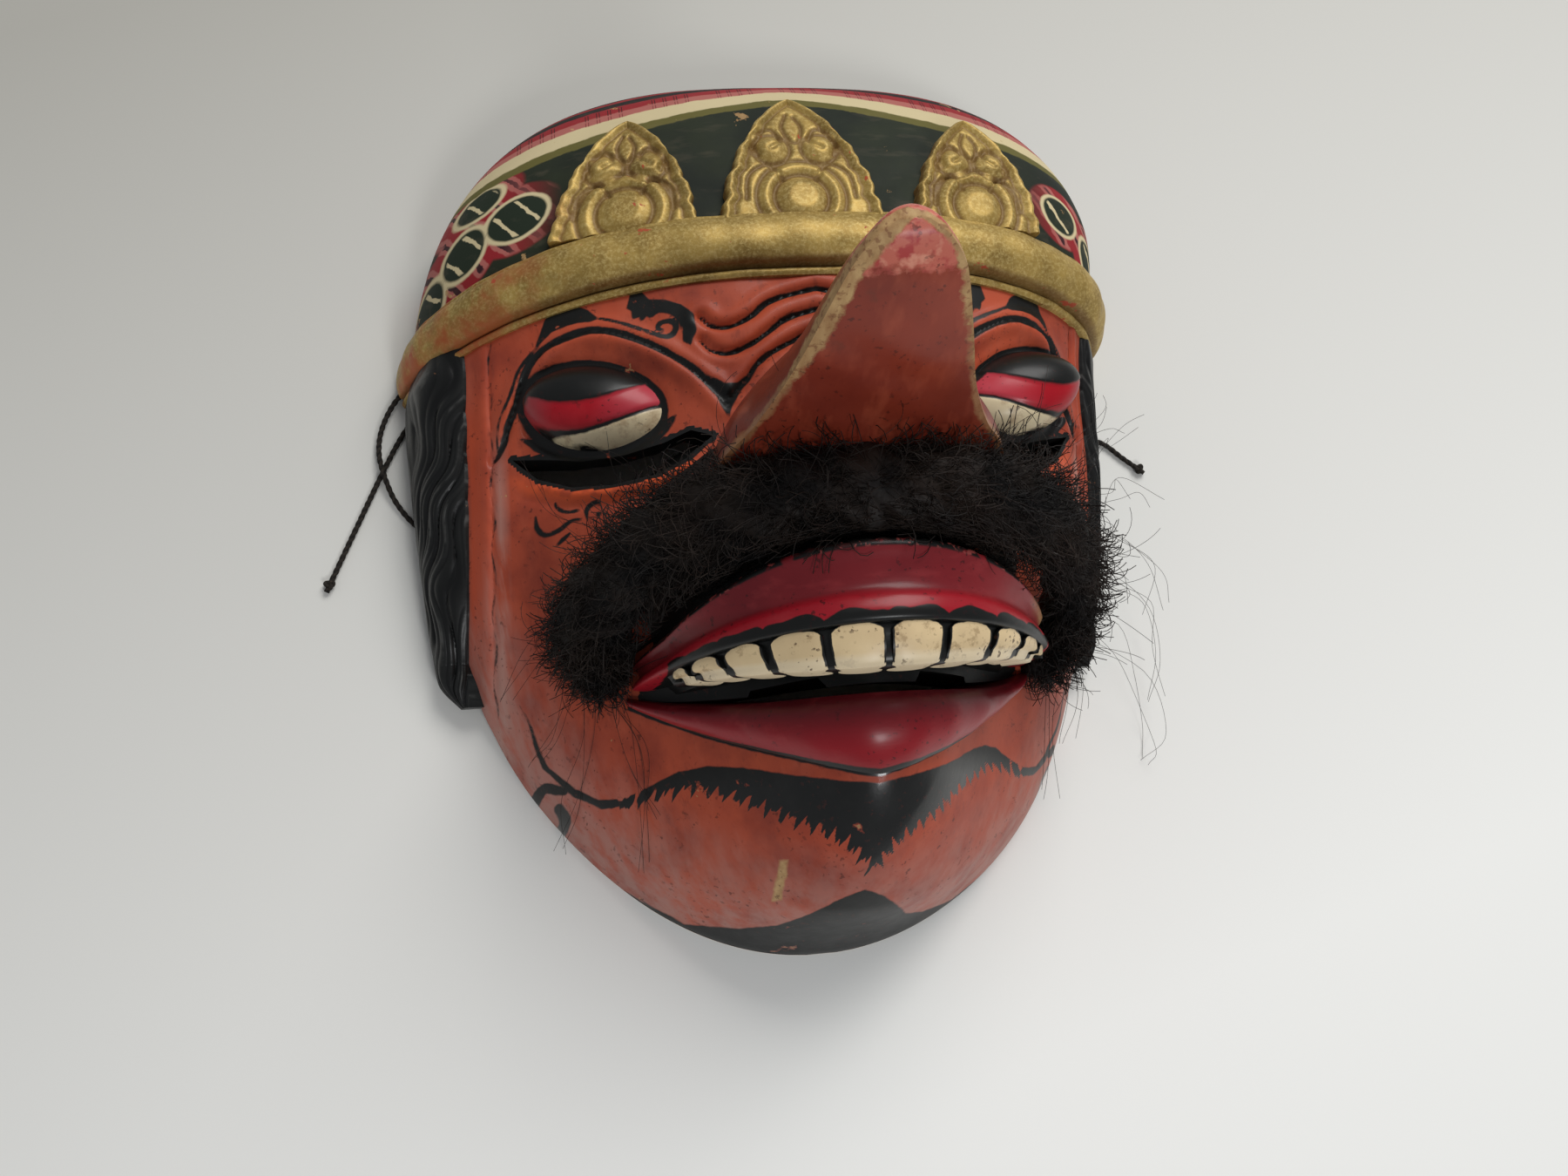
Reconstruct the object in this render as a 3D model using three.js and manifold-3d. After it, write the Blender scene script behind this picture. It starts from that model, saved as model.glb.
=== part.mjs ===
// Painted wooden dance mask lying on its back.
// Millimetres. +X is the viewer's right, +Y the crown, +Z out of the face, table at z = 0.
import * as THREE from 'three';
import Module from 'manifold-3d';

const wasm = await Module();
wasm.setup();
const { Manifold } = wasm;

// Overall sizes of the carved shell.
const HALF_WIDTH = 78;        // widest half-width at the rim
const EYE_LINE = 25;          // y of the widest level
const CROWN_REACH = 75;       // eye line up to the crown rim
const CHIN_REACH = 118.5;       // eye line down to the chin rim
const SQUARE = 2.85;          // how square the crown's outline is, 2 being an ellipse
const DOME_HEIGHT = 42;       // forehead above the rim
const WALL = 7;               // carved wall thickness
const RIM_ARCH = 5;           // how far the side rims lift off the table
const LEAN_X = -8;            // the hand-carved rim sits left of the features
const RIGHT_TUCK = 0.06;      // how much narrower its right side is
const LEAN_TOP = 45;          // height above which nothing leans

// Moves the origin to the middle of the carving's footprint.
const TO_MIDDLE = [8.76, -3.25, 0];

const { abs, sin, cos, min, max, sqrt, PI, sign, exp } = Math;
const clamp = (v, a = 0, b = 1) => min(b, max(a, v));
const smooth = (a, b, v) => { const t = clamp((v - a) / (b - a)); return t * t * (3 - 2 * t); };
const mix = (a, b, t) => a + (b - a) * t;
const power = (v, p) => sign(v) * abs(v) ** p;

// Distance from the dome's middle as a share of the way to the rim.
function rimShare(x, y, inset = 0) {
  const up = y > EYE_LINE;
  const p = up ? SQUARE : 2;
  const reach = (up ? CROWN_REACH : CHIN_REACH) - inset;
  return ((abs(x) / (HALF_WIDTH - inset)) ** p + (abs(y - EYE_LINE) / reach) ** p) ** (1 / p);
}

function domeProfile(s, y) {
  const fullness = 0.62 - 0.28 * smooth(12, 62, y);
  return clamp(1 - s ** 2.2) ** fullness;
}

const chinSwell = (x, y) =>
  exp(-((x / 25) ** 2)) * clamp(1 - (y < -62 ? ((y + 62) / 34) ** 2 : ((y + 62) / 46) ** 2)) ** 0.6;

const eyeSocket = (x, y) => exp(-(((abs(x) - 43) / 15) ** 2) - ((y - 12) / 11) ** 2);

// Height of the bare face, before nose, lips, band and hair are added.
function skin(x, y, grow = 0) {
  const s = rimShare(x, y, -grow);
  return (DOME_HEIGHT + grow) * domeProfile(s, y) + 24 * chinSwell(x, y) * smooth(1, 0.93, s)
    - 3 * eyeSocket(x, y);
}

function toManifold(verts, faces) {
  const mesh = new wasm.Mesh({
    numProp: 3,
    vertProperties: Float32Array.from(verts.flat()),
    triVerts: Uint32Array.from(faces.flat()),
  });
  const solid = new Manifold(mesh);
  if (solid.volume() > 0) return solid;
  return toManifold(verts, faces.map(([a, b, c]) => [a, c, b]));
}

// Closed dome over the rim outline. The rings crowd towards the steep rim.
function dome(rings, segments, height, inset = 0, skirt = 0) {
  const verts = [[0, EYE_LINE, height(0, EYE_LINE)]];
  const faces = [];
  const spot = (s, turn) => {
    const up = sin(turn) > 0;
    const e = up ? 2 / SQUARE : 1;
    const reach = (up ? CROWN_REACH : CHIN_REACH) - inset;
    return [(HALF_WIDTH - inset) * s * power(cos(turn), e), EYE_LINE + reach * s * power(sin(turn), e)];
  };
  for (let r = 1; r <= rings; r += 1) {
    const s = 1 - (1 - r / rings) ** 1.7;
    for (let k = 0; k < segments; k += 1) {
      const [x, y] = spot(s, (2 * PI * k) / segments);
      verts.push([x, y, r === rings ? 0 : height(x, y)]);
    }
  }
  let last = 1 + (rings - 1) * segments;
  if (skirt > 0) {
    for (let k = 0; k < segments; k += 1) {
      const [x, y] = verts[last + k];
      verts.push([x, y, -skirt]);
    }
  }
  const bands = rings - 1 + (skirt > 0 ? 1 : 0);
  for (let k = 0; k < segments; k += 1) {
    const n = (k + 1) % segments;
    faces.push([0, 1 + k, 1 + n]);
    for (let r = 0; r < bands; r += 1) {
      const a = 1 + r * segments;
      const b = a + segments;
      faces.push([a + k, b + k, b + n], [a + k, b + n, a + n]);
    }
  }
  last = 1 + bands * segments;
  verts.push([0, EYE_LINE, -skirt]);
  for (let k = 0; k < segments; k += 1) {
    faces.push([verts.length - 1, last + ((k + 1) % segments), last + k]);
  }
  return toManifold(verts, faces);
}

// Solid made of equal rings of points, closed by a fan at each end.
function loft(rings) {
  const n = rings[0].length;
  const verts = rings.flat();
  const faces = [];
  for (let r = 0; r + 1 < rings.length; r += 1) {
    for (let k = 0; k < n; k += 1) {
      const m = (k + 1) % n;
      const a = r * n;
      const b = a + n;
      faces.push([a + k, a + m, b + m], [a + k, b + m, b + k]);
    }
  }
  const cap = (start, flip) => {
    const middle = [0, 1, 2].map((i) => {
      let sum = 0;
      for (let k = 0; k < n; k += 1) sum += verts[start + k][i];
      return sum / n;
    });
    verts.push(middle);
    for (let k = 0; k < n; k += 1) {
      const m = (k + 1) % n;
      faces.push(flip ? [verts.length - 1, start + m, start + k] : [verts.length - 1, start + k, start + m]);
    }
  };
  cap(0, true);
  cap((rings.length - 1) * n, false);
  return toManifold(verts, faces);
}

// Slab lying on the face: surface point, relief above it and depth sunk below it.
function slab(columns, rows, place, relief, depth) {
  const at = (u, v) => {
    const e = 1e-3;
    const p = place(u, v);
    const du = place(min(1, u + e), v).map((c, i) => c - place(max(0, u - e), v)[i]);
    const dv = place(u, min(1, v + e)).map((c, i) => c - place(u, max(0, v - e))[i]);
    const n = new THREE.Vector3(...du).cross(new THREE.Vector3(...dv)).normalize();
    if (n.z < -0.2) n.negate();
    return [p, n];
  };
  const verts = [];
  for (const side of [1, 0]) {
    for (let i = 0; i <= columns; i += 1) {
      for (let j = 0; j <= rows; j += 1) {
        const u = i / columns;
        const v = j / rows;
        const [p, n] = at(u, v);
        const d = side ? relief(u, v) : -depth;
        verts.push([p[0] + n.x * d, p[1] + n.y * d, p[2] + n.z * d]);
      }
    }
  }
  const w = rows + 1;
  const half = (columns + 1) * w;
  const faces = [];
  for (let i = 0; i < columns; i += 1) {
    for (let j = 0; j < rows; j += 1) {
      const a = i * w + j;
      faces.push([a, a + w, a + w + 1], [a, a + w + 1, a + 1]);
      faces.push([half + a, half + a + w + 1, half + a + w], [half + a, half + a + 1, half + a + w + 1]);
    }
  }
  const edge = [];
  for (let i = 0; i < columns; i += 1) edge.push([i * w, (i + 1) * w]);
  for (let j = 0; j < rows; j += 1) edge.push([columns * w + j, columns * w + j + 1]);
  for (let i = columns; i > 0; i -= 1) edge.push([i * w + rows, (i - 1) * w + rows]);
  for (let j = rows; j > 0; j -= 1) edge.push([j, j - 1]);
  for (const [a, b] of edge) faces.push([a, half + a, half + b], [a, half + b, b]);
  return toManifold(verts, faces);
}

// Muzzle: the arch that carries the upper lip and the teeth.
const LIP_HALF = 38.2;
const LIP_BASE = 27;
const MUZZLE_FRONT = -45.5;
const LIP_RISE = 45;
const lipRim = (x) => -26.4 - 11 * (abs(x) / 40) ** 2.2;
const teethTop = (x) => -40.7 - 1.2 * (x / 36) ** 2;
const teethFoot = (x) => -47.6 + 4.5 * (x / 40) ** 2;
const lowerLipTop = (x) => -49.9 + 6.9 * (x / 40) ** 2;
const lowerLipFoot = (x) => -62.5 + 19 * (abs(x) / 40) ** 1.35;

function archPoint(turn, y, out) {
  const n = new THREE.Vector2(sin(turn) / LIP_HALF, cos(turn) / LIP_RISE).normalize();
  return [LIP_HALF * sin(turn) + n.x * out, y, LIP_BASE + LIP_RISE * cos(turn) + n.y * out];
}

function muzzleCore(grow = 0) {
  const levels = [
    [MUZZLE_FRONT, 34, 62], [-40, 36, 64], [-30, 38, 65.5], [-22, 40, 65], [-14, 41, 61], [-6, 40, 54],
    [2, 36, 47], [9, 28, 40],
  ];
  const points = 20;
  return loft(levels.map(([y, half, top]) => Array.from({ length: points }, (_, k) => {
    const a = (PI * k) / (points - 1);
    return [(half + grow) * cos(a), y + (y === levels[0][0] ? -grow : 0), 12 + (top + grow - 12) * sin(a) ** 0.9];
  })));
}

function upperLip(grow = 0) {
  const steps = 22;
  const rings = [];
  for (let i = 0; i <= steps; i += 1) {
    const turn = mix(-1, 1, i / steps) * 1.5;
    const x = LIP_HALF * sin(turn);
    const rim = lipRim(x) + grow;
    const foot = teethTop(x) - grow;
    const section = [
      [rim, -9.5], [rim + 0.2, -1.6 + grow], [rim - 1.1, 0.4 + grow], [mix(rim, foot, 0.45), -0.6 + grow],
      [mix(rim, foot, 0.82), 0.7 + grow], [foot + 0.3, 0.2 + grow], [foot, -2.4], [foot, -9.5],
    ];
    rings.push(section.map(([y, out]) => archPoint(turn, y, out)));
  }
  return loft(rings);
}

// Ten carved teeth, narrowing towards the corners of the mouth.
const TOOTH_EDGES = [0, 10.4, 20, 27.2, 32.2, 35.2];
function teeth() {
  const list = [];
  const rise = (v) => sqrt(max(0, 1 - v * v));
  for (const side of [-1, 1]) {
    for (let i = 0; i + 1 < TOOTH_EDGES.length; i += 1) {
      const from = Math.asin((TOOTH_EDGES[i] + 0.45) / LIP_HALF);
      const to = Math.asin((TOOTH_EDGES[i + 1] - 0.45) / LIP_HALF);
      const rings = [];
      for (let k = 0; k <= 2; k += 1) {
        const turn = side * mix(from, to, k / 2);
        const x = LIP_HALF * sin(turn);
        const crownY = teethTop(x) + 0.8;
        const foot = teethFoot(x);
        const swell = rise(mix(-0.9, 0.9, k / 2)) * 0.7 - 0.9;
        rings.push([
          [crownY, -8], [crownY, swell - 0.2], [mix(crownY, foot, 0.5), swell - 1.1],
          [foot + 0.5, swell - 2.6], [foot, swell - 3.4], [foot, -8],
        ].map(([y, out]) => archPoint(turn, y, out)));
      }
      list.push(loft(rings));
    }
  }
  return Manifold.union(list);
}

// Long nose: a flat underside towards the chin and a rounded bridge.
// Each level is height, underside y, half-width, bridge y.
const NOSE_LEVELS = [
  [34, -11, 26, 31], [52, -12, 26.5, 25], [62, -11.5, 26, 22], [69, -9.8, 24, 20], [74, -8, 20.5, 18.8],
  [80, -6, 17.6, 18], [87, -4.4, 15.2, 16.4], [95, -2.8, 13.1, 14.8], [107, 0.6, 9.8, 12], [112, 2.5, 7.9, 10.6],
  [115.2, 4.6, 5.2, 9.4], [116.6, 6.3, 2.2, 8.3],
];
function nose(grow = 0) {
  const rings = NOSE_LEVELS.map(([z, under, half, bridge]) => {
    const ring = [];
    for (let k = 0; k <= 14; k += 1) {
      const a = (PI * k) / 14;
      const pinch = mix(mix(2.9, 1.9, smooth(84, 108, z)), 1, smooth(112, 116.6, z));
      ring.push([(half + grow) * power(cos(a), pinch), under - grow + (bridge - under + 2 * grow) * sin(a), z]);
    }
    for (let k = 1; k <= 5; k += 1) {
      const t = k / 6;
      ring.push([mix(-half - grow, half + grow, t), under - grow - 0.09 * half * sin(PI * t), z]);
    }
    return ring;
  });
  return loft(rings);
}

const EYE = { x: 42.3, shift: 1.3, y: 14.6, z: 29.5, tilt: 14, long: 16, short: 9.4, high: 8.6 };
function eyeball(side) {
  return Manifold.sphere(1, 14)
    .scale([EYE.long, EYE.short, EYE.high])
    .rotate([0, 0, side * EYE.tilt])
    .translate([side * EYE.x + EYE.shift, EYE.y, EYE.z]);
}

// Point on the bare face; x is measured so that the steep rim is sampled evenly.
const rimHalf = (y) => {
  const up = y > EYE_LINE;
  const p = up ? SQUARE : 2;
  const t = abs(y - EYE_LINE) / (up ? CROWN_REACH : CHIN_REACH);
  return HALF_WIDTH * clamp(1 - t ** p) ** (1 / p);
};
const onSkin = (x, y) => [x, y, max(0, skin(x, y))];

const bandY = (x) => 44.5 - 9.7 * (abs(x) / 79.4) ** 2.6;
function goldBand() {
  return slab(34, 4, (u, v) => {
    const turn = mix(-1, 1, u) * 1.53;
    const half = mix(7, 6, abs(sin(turn)) ** 4);
    const y = bandY(HALF_WIDTH * sin(turn)) + half * mix(-1, 1, v);
    return onSkin(rimHalf(y) * sin(turn), y);
  }, (u, v) => {
    const across = mix(-1, 1, v);
    return mix(5, 2.6, abs(mix(-1, 1, u)) ** 3) * sqrt(max(0, 1 - across ** 2 * 0.85)) - (v === 0 ? 0.5 : 0);
  }, 3.5);
}

// Three carved leaves standing on the band, each with three raised rounds.
const LEAVES = [
  { x: -36.5, half: 16.8, foot: 49, tip: 76.5, slant: 2.5 },
  { x: -1, half: 19.4, foot: 49.5, tip: 81.5, slant: 0.6 },
  { x: 36.5, half: 16.8, foot: 49, tip: 76.5, slant: 1 },
];
const leafHalf = (leaf, v) => max(0.5, leaf.half * (1 - v) ** 0.6 * (1 - 0.16 * (1 - v) ** 3));
function leaf(item) {
  const rounds = [[-0.42, 0.55, 0.2], [0.42, 0.55, 0.2], [0, 0.22, 0.26]];
  return slab(8, 7, (u, v) => {
    const x = item.x + item.slant * v + leafHalf(item, v) * mix(-1, 1, u);
    return onSkin(x, mix(item.foot, item.tip, v));
  }, (u, v) => {
    const across = mix(-1, 1, u);
    let rise = 2.5 + 0.4 * (1 - across ** 2);
    for (const [cx, cy, r] of rounds) {
      const d = Math.hypot((across - cx) * 0.62, v - cy) / r;
      rise += 0.9 * clamp(1.25 - d);
    }
    return rise;
  }, 3);
}

// Carved hair in front of each ear, standing proud of the jaw, with slanting locks.
const HAIR_TOP = 34;
const HAIR_FOOT = -41;
const HAIR_BREADTH = 12.6;    // from the face's edge strip out to the rim
const HAIR_ROOT = 18;         // how far in from the rim the locks are rooted
const HAIR_INNER = HALF_WIDTH - HAIR_BREADTH;
const HAIR_LIFT = 3.8;        // underside of the hair above the table
const hairOuter = (y) => HALF_WIDTH - 6.5 * (max(0, 22 - y) / 63) ** 1.3;
function sideHair(side) {
  const rings = [];
  for (let j = 0; j <= 28; j += 1) {
    const v = j / 28;
    const y = mix(HAIR_FOOT, HAIR_TOP, v);
    const top = max(6, skin(HAIR_INNER, y));
    const ring = [];
    for (let i = 0; i <= 6; i += 1) {
      const u = i / 6;
      const turn = (u * PI) / 2;
      const lock = 0.9 + 1.3 * abs(sin(PI * (v * 7 + u * 1.2))) * (0.4 + 0.6 * sin(PI * u));
      const x = mix(HAIR_INNER, hairOuter(y), sin(turn)) + lock * sin(turn);
      ring.push([side * x, y, mix(HAIR_LIFT, top, cos(turn)) + lock * cos(turn)]);
    }
    const root = side * (HALF_WIDTH - HAIR_ROOT);
    ring.push([root, y, HAIR_LIFT], [root, y, max(HAIR_LIFT + 1, top - 4)]);
    rings.push(ring);
  }
  return loft(rings);
}

// Raised brow fold that sweeps over each eye and runs down to the nose.
const BROW = [[60.5, 11], [57, 21.5], [50, 28.3], [42.5, 29], [34, 25.5], [26, 19.5], [19, 13.5]];
function browFold(side) {
  const curve = new THREE.CatmullRomCurve3(BROW.map(([x, y]) => new THREE.Vector3(side * x, y, 0)));
  return slab(12, 2, (u, v) => {
    const p = curve.getPoint(u);
    const t = curve.getTangent(u);
    const off = mix(-2.2, 2.2, v);
    return onSkin(p.x - t.y * off, p.y + t.x * off);
  }, (u, v) => 0.25 + 1.5 * sin(PI * v) * sin(PI * mix(0.08, 0.92, u)) ** 0.6, 2.5);
}

function lowerLip() {
  return slab(20, 4, (u, v) => {
    const x = 39.5 * mix(-1, 1, u);
    return onSkin(x, mix(lowerLipFoot(x), lowerLipTop(x), v));
  }, (u, v) => {
    const ends = sqrt(max(0, 1 - mix(-1, 1, u) ** 4));
    return 0.3 + 4.6 * ends * sin(PI * mix(0.08, 0.8, v)) ** 0.8;
  }, 4);
}

// Openings that go right through: the slits under the eyes and the mouth.
function prism(outline, from, to) {
  return Manifold.extrude([outline], to - from).translate([0, 0, from]);
}
const SLIT = [
  [22, 5.4], [27, 1.4], [33, -1.1], [41, -1.7], [48, -0.8], [54, 2.2], [58.5, 7.4],
  [53, 6.2], [46, 4.6], [38, 4.2], [31, 5.2], [26, 7],
];
const eyeSlit = (side) => {
  const points = SLIT.map(([x, y]) => [side * x, y]);
  return prism(side > 0 ? points : points.reverse(), 5, 70);
};
function mouthSlot() {
  const between = (upperEdge) => {
    const upper = [];
    const lower = [];
    for (let i = 0; i <= 16; i += 1) {
      const x = mix(-36.5, 36.5, i / 16);
      upper.push([x, upperEdge(x)]);
      lower.push([x, lowerLipTop(x) + 0.1]);
    }
    return prism([...lower, ...upper.reverse()], 5, 70);
  };
  const underArch = loft([-60, MUZZLE_FRONT].map((y) => Array.from({ length: 16 }, (_, k) => {
    const a = (PI * k) / 15;
    return [29 * cos(a), y, 4 + 54 * sin(a) ** 0.8];
  })));
  return between((x) => teethFoot(x) - 0.1).add(
    between((x) => max(MUZZLE_FRONT, lowerLipTop(x) + 0.5)).intersect(underArch),
  );
}

// The hollow for the wearer's face.
function hollow() {
  const inner = (x, y) => {
    const s = rimShare(x, y, WALL);
    const swell = exp(-((x / 24) ** 2) - ((y + 40) / 26) ** 2);
    return (DOME_HEIGHT - WALL) * domeProfile(s, y) + 16 * swell * smooth(1, 0.8, s);
  };
  return dome(9, 36, inner, WALL, 2);
}

function rimArch() {
  const outline = [[-62, -2]];
  for (let i = 0; i <= 16; i += 1) {
    const y = mix(-62, 54, i / 16);
    outline.push([y, RIM_ARCH * smooth(-62, -30, y) * smooth(54, 34, y)]);
  }
  outline.push([54, -2]);
  const cut = Manifold.extrude([outline.reverse()], 240).translate([0, 0, -120]);
  return cut.rotate([90, 0, 90]);
}

const leaning = (p) => {
  const share = 1 - smooth(20, 130, p[1]) - 0.3 * smooth(-20, -80, p[1]);
  const low = clamp(1 - p[2] / LEAN_TOP);
  const tuck = RIGHT_TUCK * smooth(70, 30, p[1]) * smooth(-85, -30, p[1]);
  p[0] += (LEAN_X * share - max(0, p[0]) * tuck) * low;
};

function maskBody() {
  const face = Manifold.union([
    dome(17, 60, skin), muzzleCore(), upperLip(), teeth(), nose(), eyeball(-1), eyeball(1),
    goldBand(), ...LEAVES.map(leaf), sideHair(-1), sideHair(1), browFold(-1), browFold(1), lowerLip(),
  ]);
  return Manifold.difference([face, hollow(), eyeSlit(-1), eyeSlit(1), mouthSlot(), rimArch()]);
}

// Fur moustache glued over the upper lip.
const FUR_GAP = 0.35;
const FUR_PATH = [
  [41, -43.5, 28], [46, -36, 31], [46, -27.5, 38], [38.5, -21.5, 50], [28, -18.6, 61], [14, -17.4, 68.5],
];
function moustache() {
  const points = [
    ...FUR_PATH.map(([x, y, z]) => new THREE.Vector3(-x, y, z)),
    new THREE.Vector3(0, -17.2, 70.5),
    ...FUR_PATH.slice().reverse().map(([x, y, z]) => new THREE.Vector3(x, y, z)),
  ];
  const curve = new THREE.CatmullRomCurve3(points, false, 'centripetal');
  const steps = 30;
  const rings = [];
  for (let i = 0; i <= steps; i += 1) {
    const u = i / steps;
    const p = curve.getPointAt(u);
    const t = curve.getTangentAt(u);
    const out = new THREE.Vector3(p.x / 60, -0.15, 1).normalize();
    const across = new THREE.Vector3().crossVectors(t, out).normalize();
    const away = new THREE.Vector3().crossVectors(across, t).normalize();
    const taper = mix(0.42, 1, smooth(0, 0.16, min(u, 1 - u)));
    const lump = 1 + 0.05 * sin(u * 61) + 0.04 * sin(u * 103 + 1);
    rings.push(Array.from({ length: 10 }, (_, k) => {
      const a = (2 * PI * k) / 10;
      const ragged = 1 + 0.05 * sin(5 * a + u * 40);
      const q = p.clone()
        .addScaledVector(across, 9.2 * taper * lump * ragged * cos(a))
        .addScaledVector(away, 6.2 * taper * ragged * sin(a));
      return q.toArray();
    }));
  }
  const wood = Manifold.union([
    dome(17, 60, (x, y) => skin(x, y, FUR_GAP), -FUR_GAP), muzzleCore(FUR_GAP), upperLip(FUR_GAP), nose(FUR_GAP),
  ]);
  const pieces = loft(rings).subtract(wood).decompose();
  return pieces.sort((a, b) => b.volume() - a.volume())[0];
}

// Tie cord: a knot, a loop beside the left rim, across the hollow and out to a second knot.
const CORD_RADIUS = 0.6;
const CORD_PATH = [
  [-103, -11.2, 0.8], [-96.7, 2.8, 0.8], [-90.5, 16.3, 0.8], [-86.8, 23.4, 0.8], [-82.5, 29.5, 0.9],
  [-80.6, 34.2, 1.4], [-84, 34.8, 1.5], [-88.2, 31, 1.2], [-91.2, 24.5, 1.4], [-91.7, 18.6, 2.2],
  [-90.8, 14, 2.2], [-88.4, 7.6, 1.2], [-83.5, 1.5, 0.8], [-70, -7, 0.8], [-50, -10, 0.8], [-24, -4, 0.8],
  [4, 5, 0.8], [32, 13, 0.8], [56, 18, 0.8], [70.6, 14.8, 0.8], [75.9, 10.4, 0.8], [80.2, 6.8, 0.8],
];
function tieCord() {
  const curve = new THREE.CatmullRomCurve3(CORD_PATH.map((p) => new THREE.Vector3(...p)), false, 'centripetal');
  const circle = new THREE.Shape();
  circle.absarc(0, 0, CORD_RADIUS, 0, 2 * PI);
  return new THREE.ExtrudeGeometry(circle, { curveSegments: 3, steps: 72, extrudePath: curve, bevelEnabled: false });
}
function toGeometry(solid) {
  const mesh = solid.getMesh();
  const geometry = new THREE.BufferGeometry();
  geometry.setAttribute('position', new THREE.BufferAttribute(Float32Array.from(mesh.vertProperties), 3));
  geometry.setIndex(new THREE.BufferAttribute(Uint32Array.from(mesh.triVerts), 1));
  geometry.computeVertexNormals();
  return geometry;
}

const paint = (color, roughness) => new THREE.MeshStandardMaterial({ color, roughness, metalness: 0 });
const group = new THREE.Group();
function add(name, geometry, material) {
  geometry.translate(...TO_MIDDLE);
  const mesh = new THREE.Mesh(geometry, material);
  mesh.name = name;
  group.add(mesh);
}

add('mask_body', toGeometry(maskBody().warp(leaning).simplify(0.1)), paint(0xb8512f, 0.35));
add('moustache', toGeometry(moustache().warp(leaning).simplify(0.05)), paint(0x1c1613, 0.95));
add('tie_cord', tieCord(), paint(0x17140f, 0.9));

export default group;
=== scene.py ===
"""Painted wooden dance mask lying on its back: carving, paint, fur moustache and tie cord."""
import math

import bpy
import numpy as np
from mathutils import Matrix, Vector


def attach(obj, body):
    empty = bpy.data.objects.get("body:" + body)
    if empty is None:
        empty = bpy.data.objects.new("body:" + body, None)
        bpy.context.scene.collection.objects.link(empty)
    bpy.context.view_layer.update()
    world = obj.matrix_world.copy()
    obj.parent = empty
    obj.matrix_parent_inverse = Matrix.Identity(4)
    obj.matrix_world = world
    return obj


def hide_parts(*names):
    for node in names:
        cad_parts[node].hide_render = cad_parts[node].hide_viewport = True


bl_info = {
    "name": "Carved dance mask",
    "version": (1, 0, 0),
    "blender": (4, 5, 0),
    "location": "View3D > Sidebar > Mask",
    "description": "Carving, paint, fur and cord of a wooden dance mask",
    "category": "Object",
}

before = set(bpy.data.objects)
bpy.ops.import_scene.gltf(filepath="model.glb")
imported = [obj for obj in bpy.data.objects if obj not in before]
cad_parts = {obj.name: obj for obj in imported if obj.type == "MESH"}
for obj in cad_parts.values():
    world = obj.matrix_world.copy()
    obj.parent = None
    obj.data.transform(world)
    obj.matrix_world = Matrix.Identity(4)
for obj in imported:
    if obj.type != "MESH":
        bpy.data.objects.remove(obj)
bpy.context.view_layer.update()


def srgb(red, green, blue):
    """Linear colour from 0-255 screen values."""
    shares = (red / 255, green / 255, blue / 255)
    return tuple(c / 12.92 if c < 0.04 else ((c + 0.055) / 1.055) ** 2.4 for c in shares)


# Arithmetic on arrays of points, in millimetres.
def clamp(v, low=0.0, high=1.0):
    return np.clip(v, low, high)


def smooth(a, b, v):
    t = clamp((v - a) / (b - a))
    return t * t * (3 - 2 * t)


def mix(a, b, t):
    return a + (b - a) * t


def power(v, p):
    return np.sign(v) * np.abs(v) ** p


def bump(v, width):
    return np.exp(-((v / width) ** 2))


def through(table, t):
    """Smooth curve through the rows of a table, t from 0 to 1."""
    rows = np.asarray(table, float)
    n = len(rows) - 1
    s = clamp(np.asarray(t, float)) * n
    i = np.minimum(s.astype(int), n - 1)
    f = (s - i)[:, None]
    p1, p2 = rows[i], rows[i + 1]
    p0 = np.where((i > 0)[:, None], rows[np.maximum(i - 1, 0)], 2 * p1 - p2)
    p3 = np.where((i < n - 1)[:, None], rows[np.minimum(i + 2, n)], 2 * p2 - p1)
    return 0.5 * (2 * p1 + (p2 - p0) * f + (2 * p0 - 5 * p1 + 4 * p2 - p3) * f**2
                  + (3 * p1 - p0 - 3 * p2 + p3) * f**3)


def to_path(x, y, points, rounded=True):
    """Distance to a drawn line and the share along it."""
    pts = through(points, np.linspace(0, 1, 6 * len(points))) if rounded else np.asarray(points, float)
    near, along = np.full(x.shape, 1e9), np.zeros(x.shape)
    for k in range(len(pts) - 1):
        (ax, ay), (bx, by) = pts[k], pts[k + 1]
        dx, dy = bx - ax, by - ay
        t = clamp(((x - ax) * dx + (y - ay) * dy) / (dx * dx + dy * dy + 1e-9))
        d = np.hypot(x - ax - t * dx, y - ay - t * dy)
        closer = d < near
        near = np.where(closer, d, near)
        along = np.where(closer, (k + t) / (len(pts) - 1), along)
    return near, along


def stroke(x, y, points, half, tail=0.35, ends=(True, True)):
    """Brush stroke that thins to its ends: below 0 inside it."""
    d, t = to_path(x, y, points)
    if ends == (True, True):
        body = np.sin(np.pi * t) ** 0.6
    elif ends == (True, False):
        body = np.sin(np.pi * t / 2) ** 0.6
    else:
        body = np.cos(np.pi * t / 2) ** 0.6
    return d - half * mix(tail, 1, clamp(body))


def region(x, y, points):
    """Distance to a closed outline, below 0 inside it."""
    pts = list(points) + [points[0]]
    d, _ = to_path(x, y, pts, rounded=False)
    inside = np.zeros(x.shape, bool)
    for (ax, ay), (bx, by) in zip(pts[:-1], pts[1:]):
        crosses = (ay > y) != (by > y)
        with np.errstate(divide="ignore", invalid="ignore"):
            at = (bx - ax) * (y - ay) / (by - ay) + ax
        inside ^= crosses & (x < at)
    return np.where(inside, -d, d)


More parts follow.
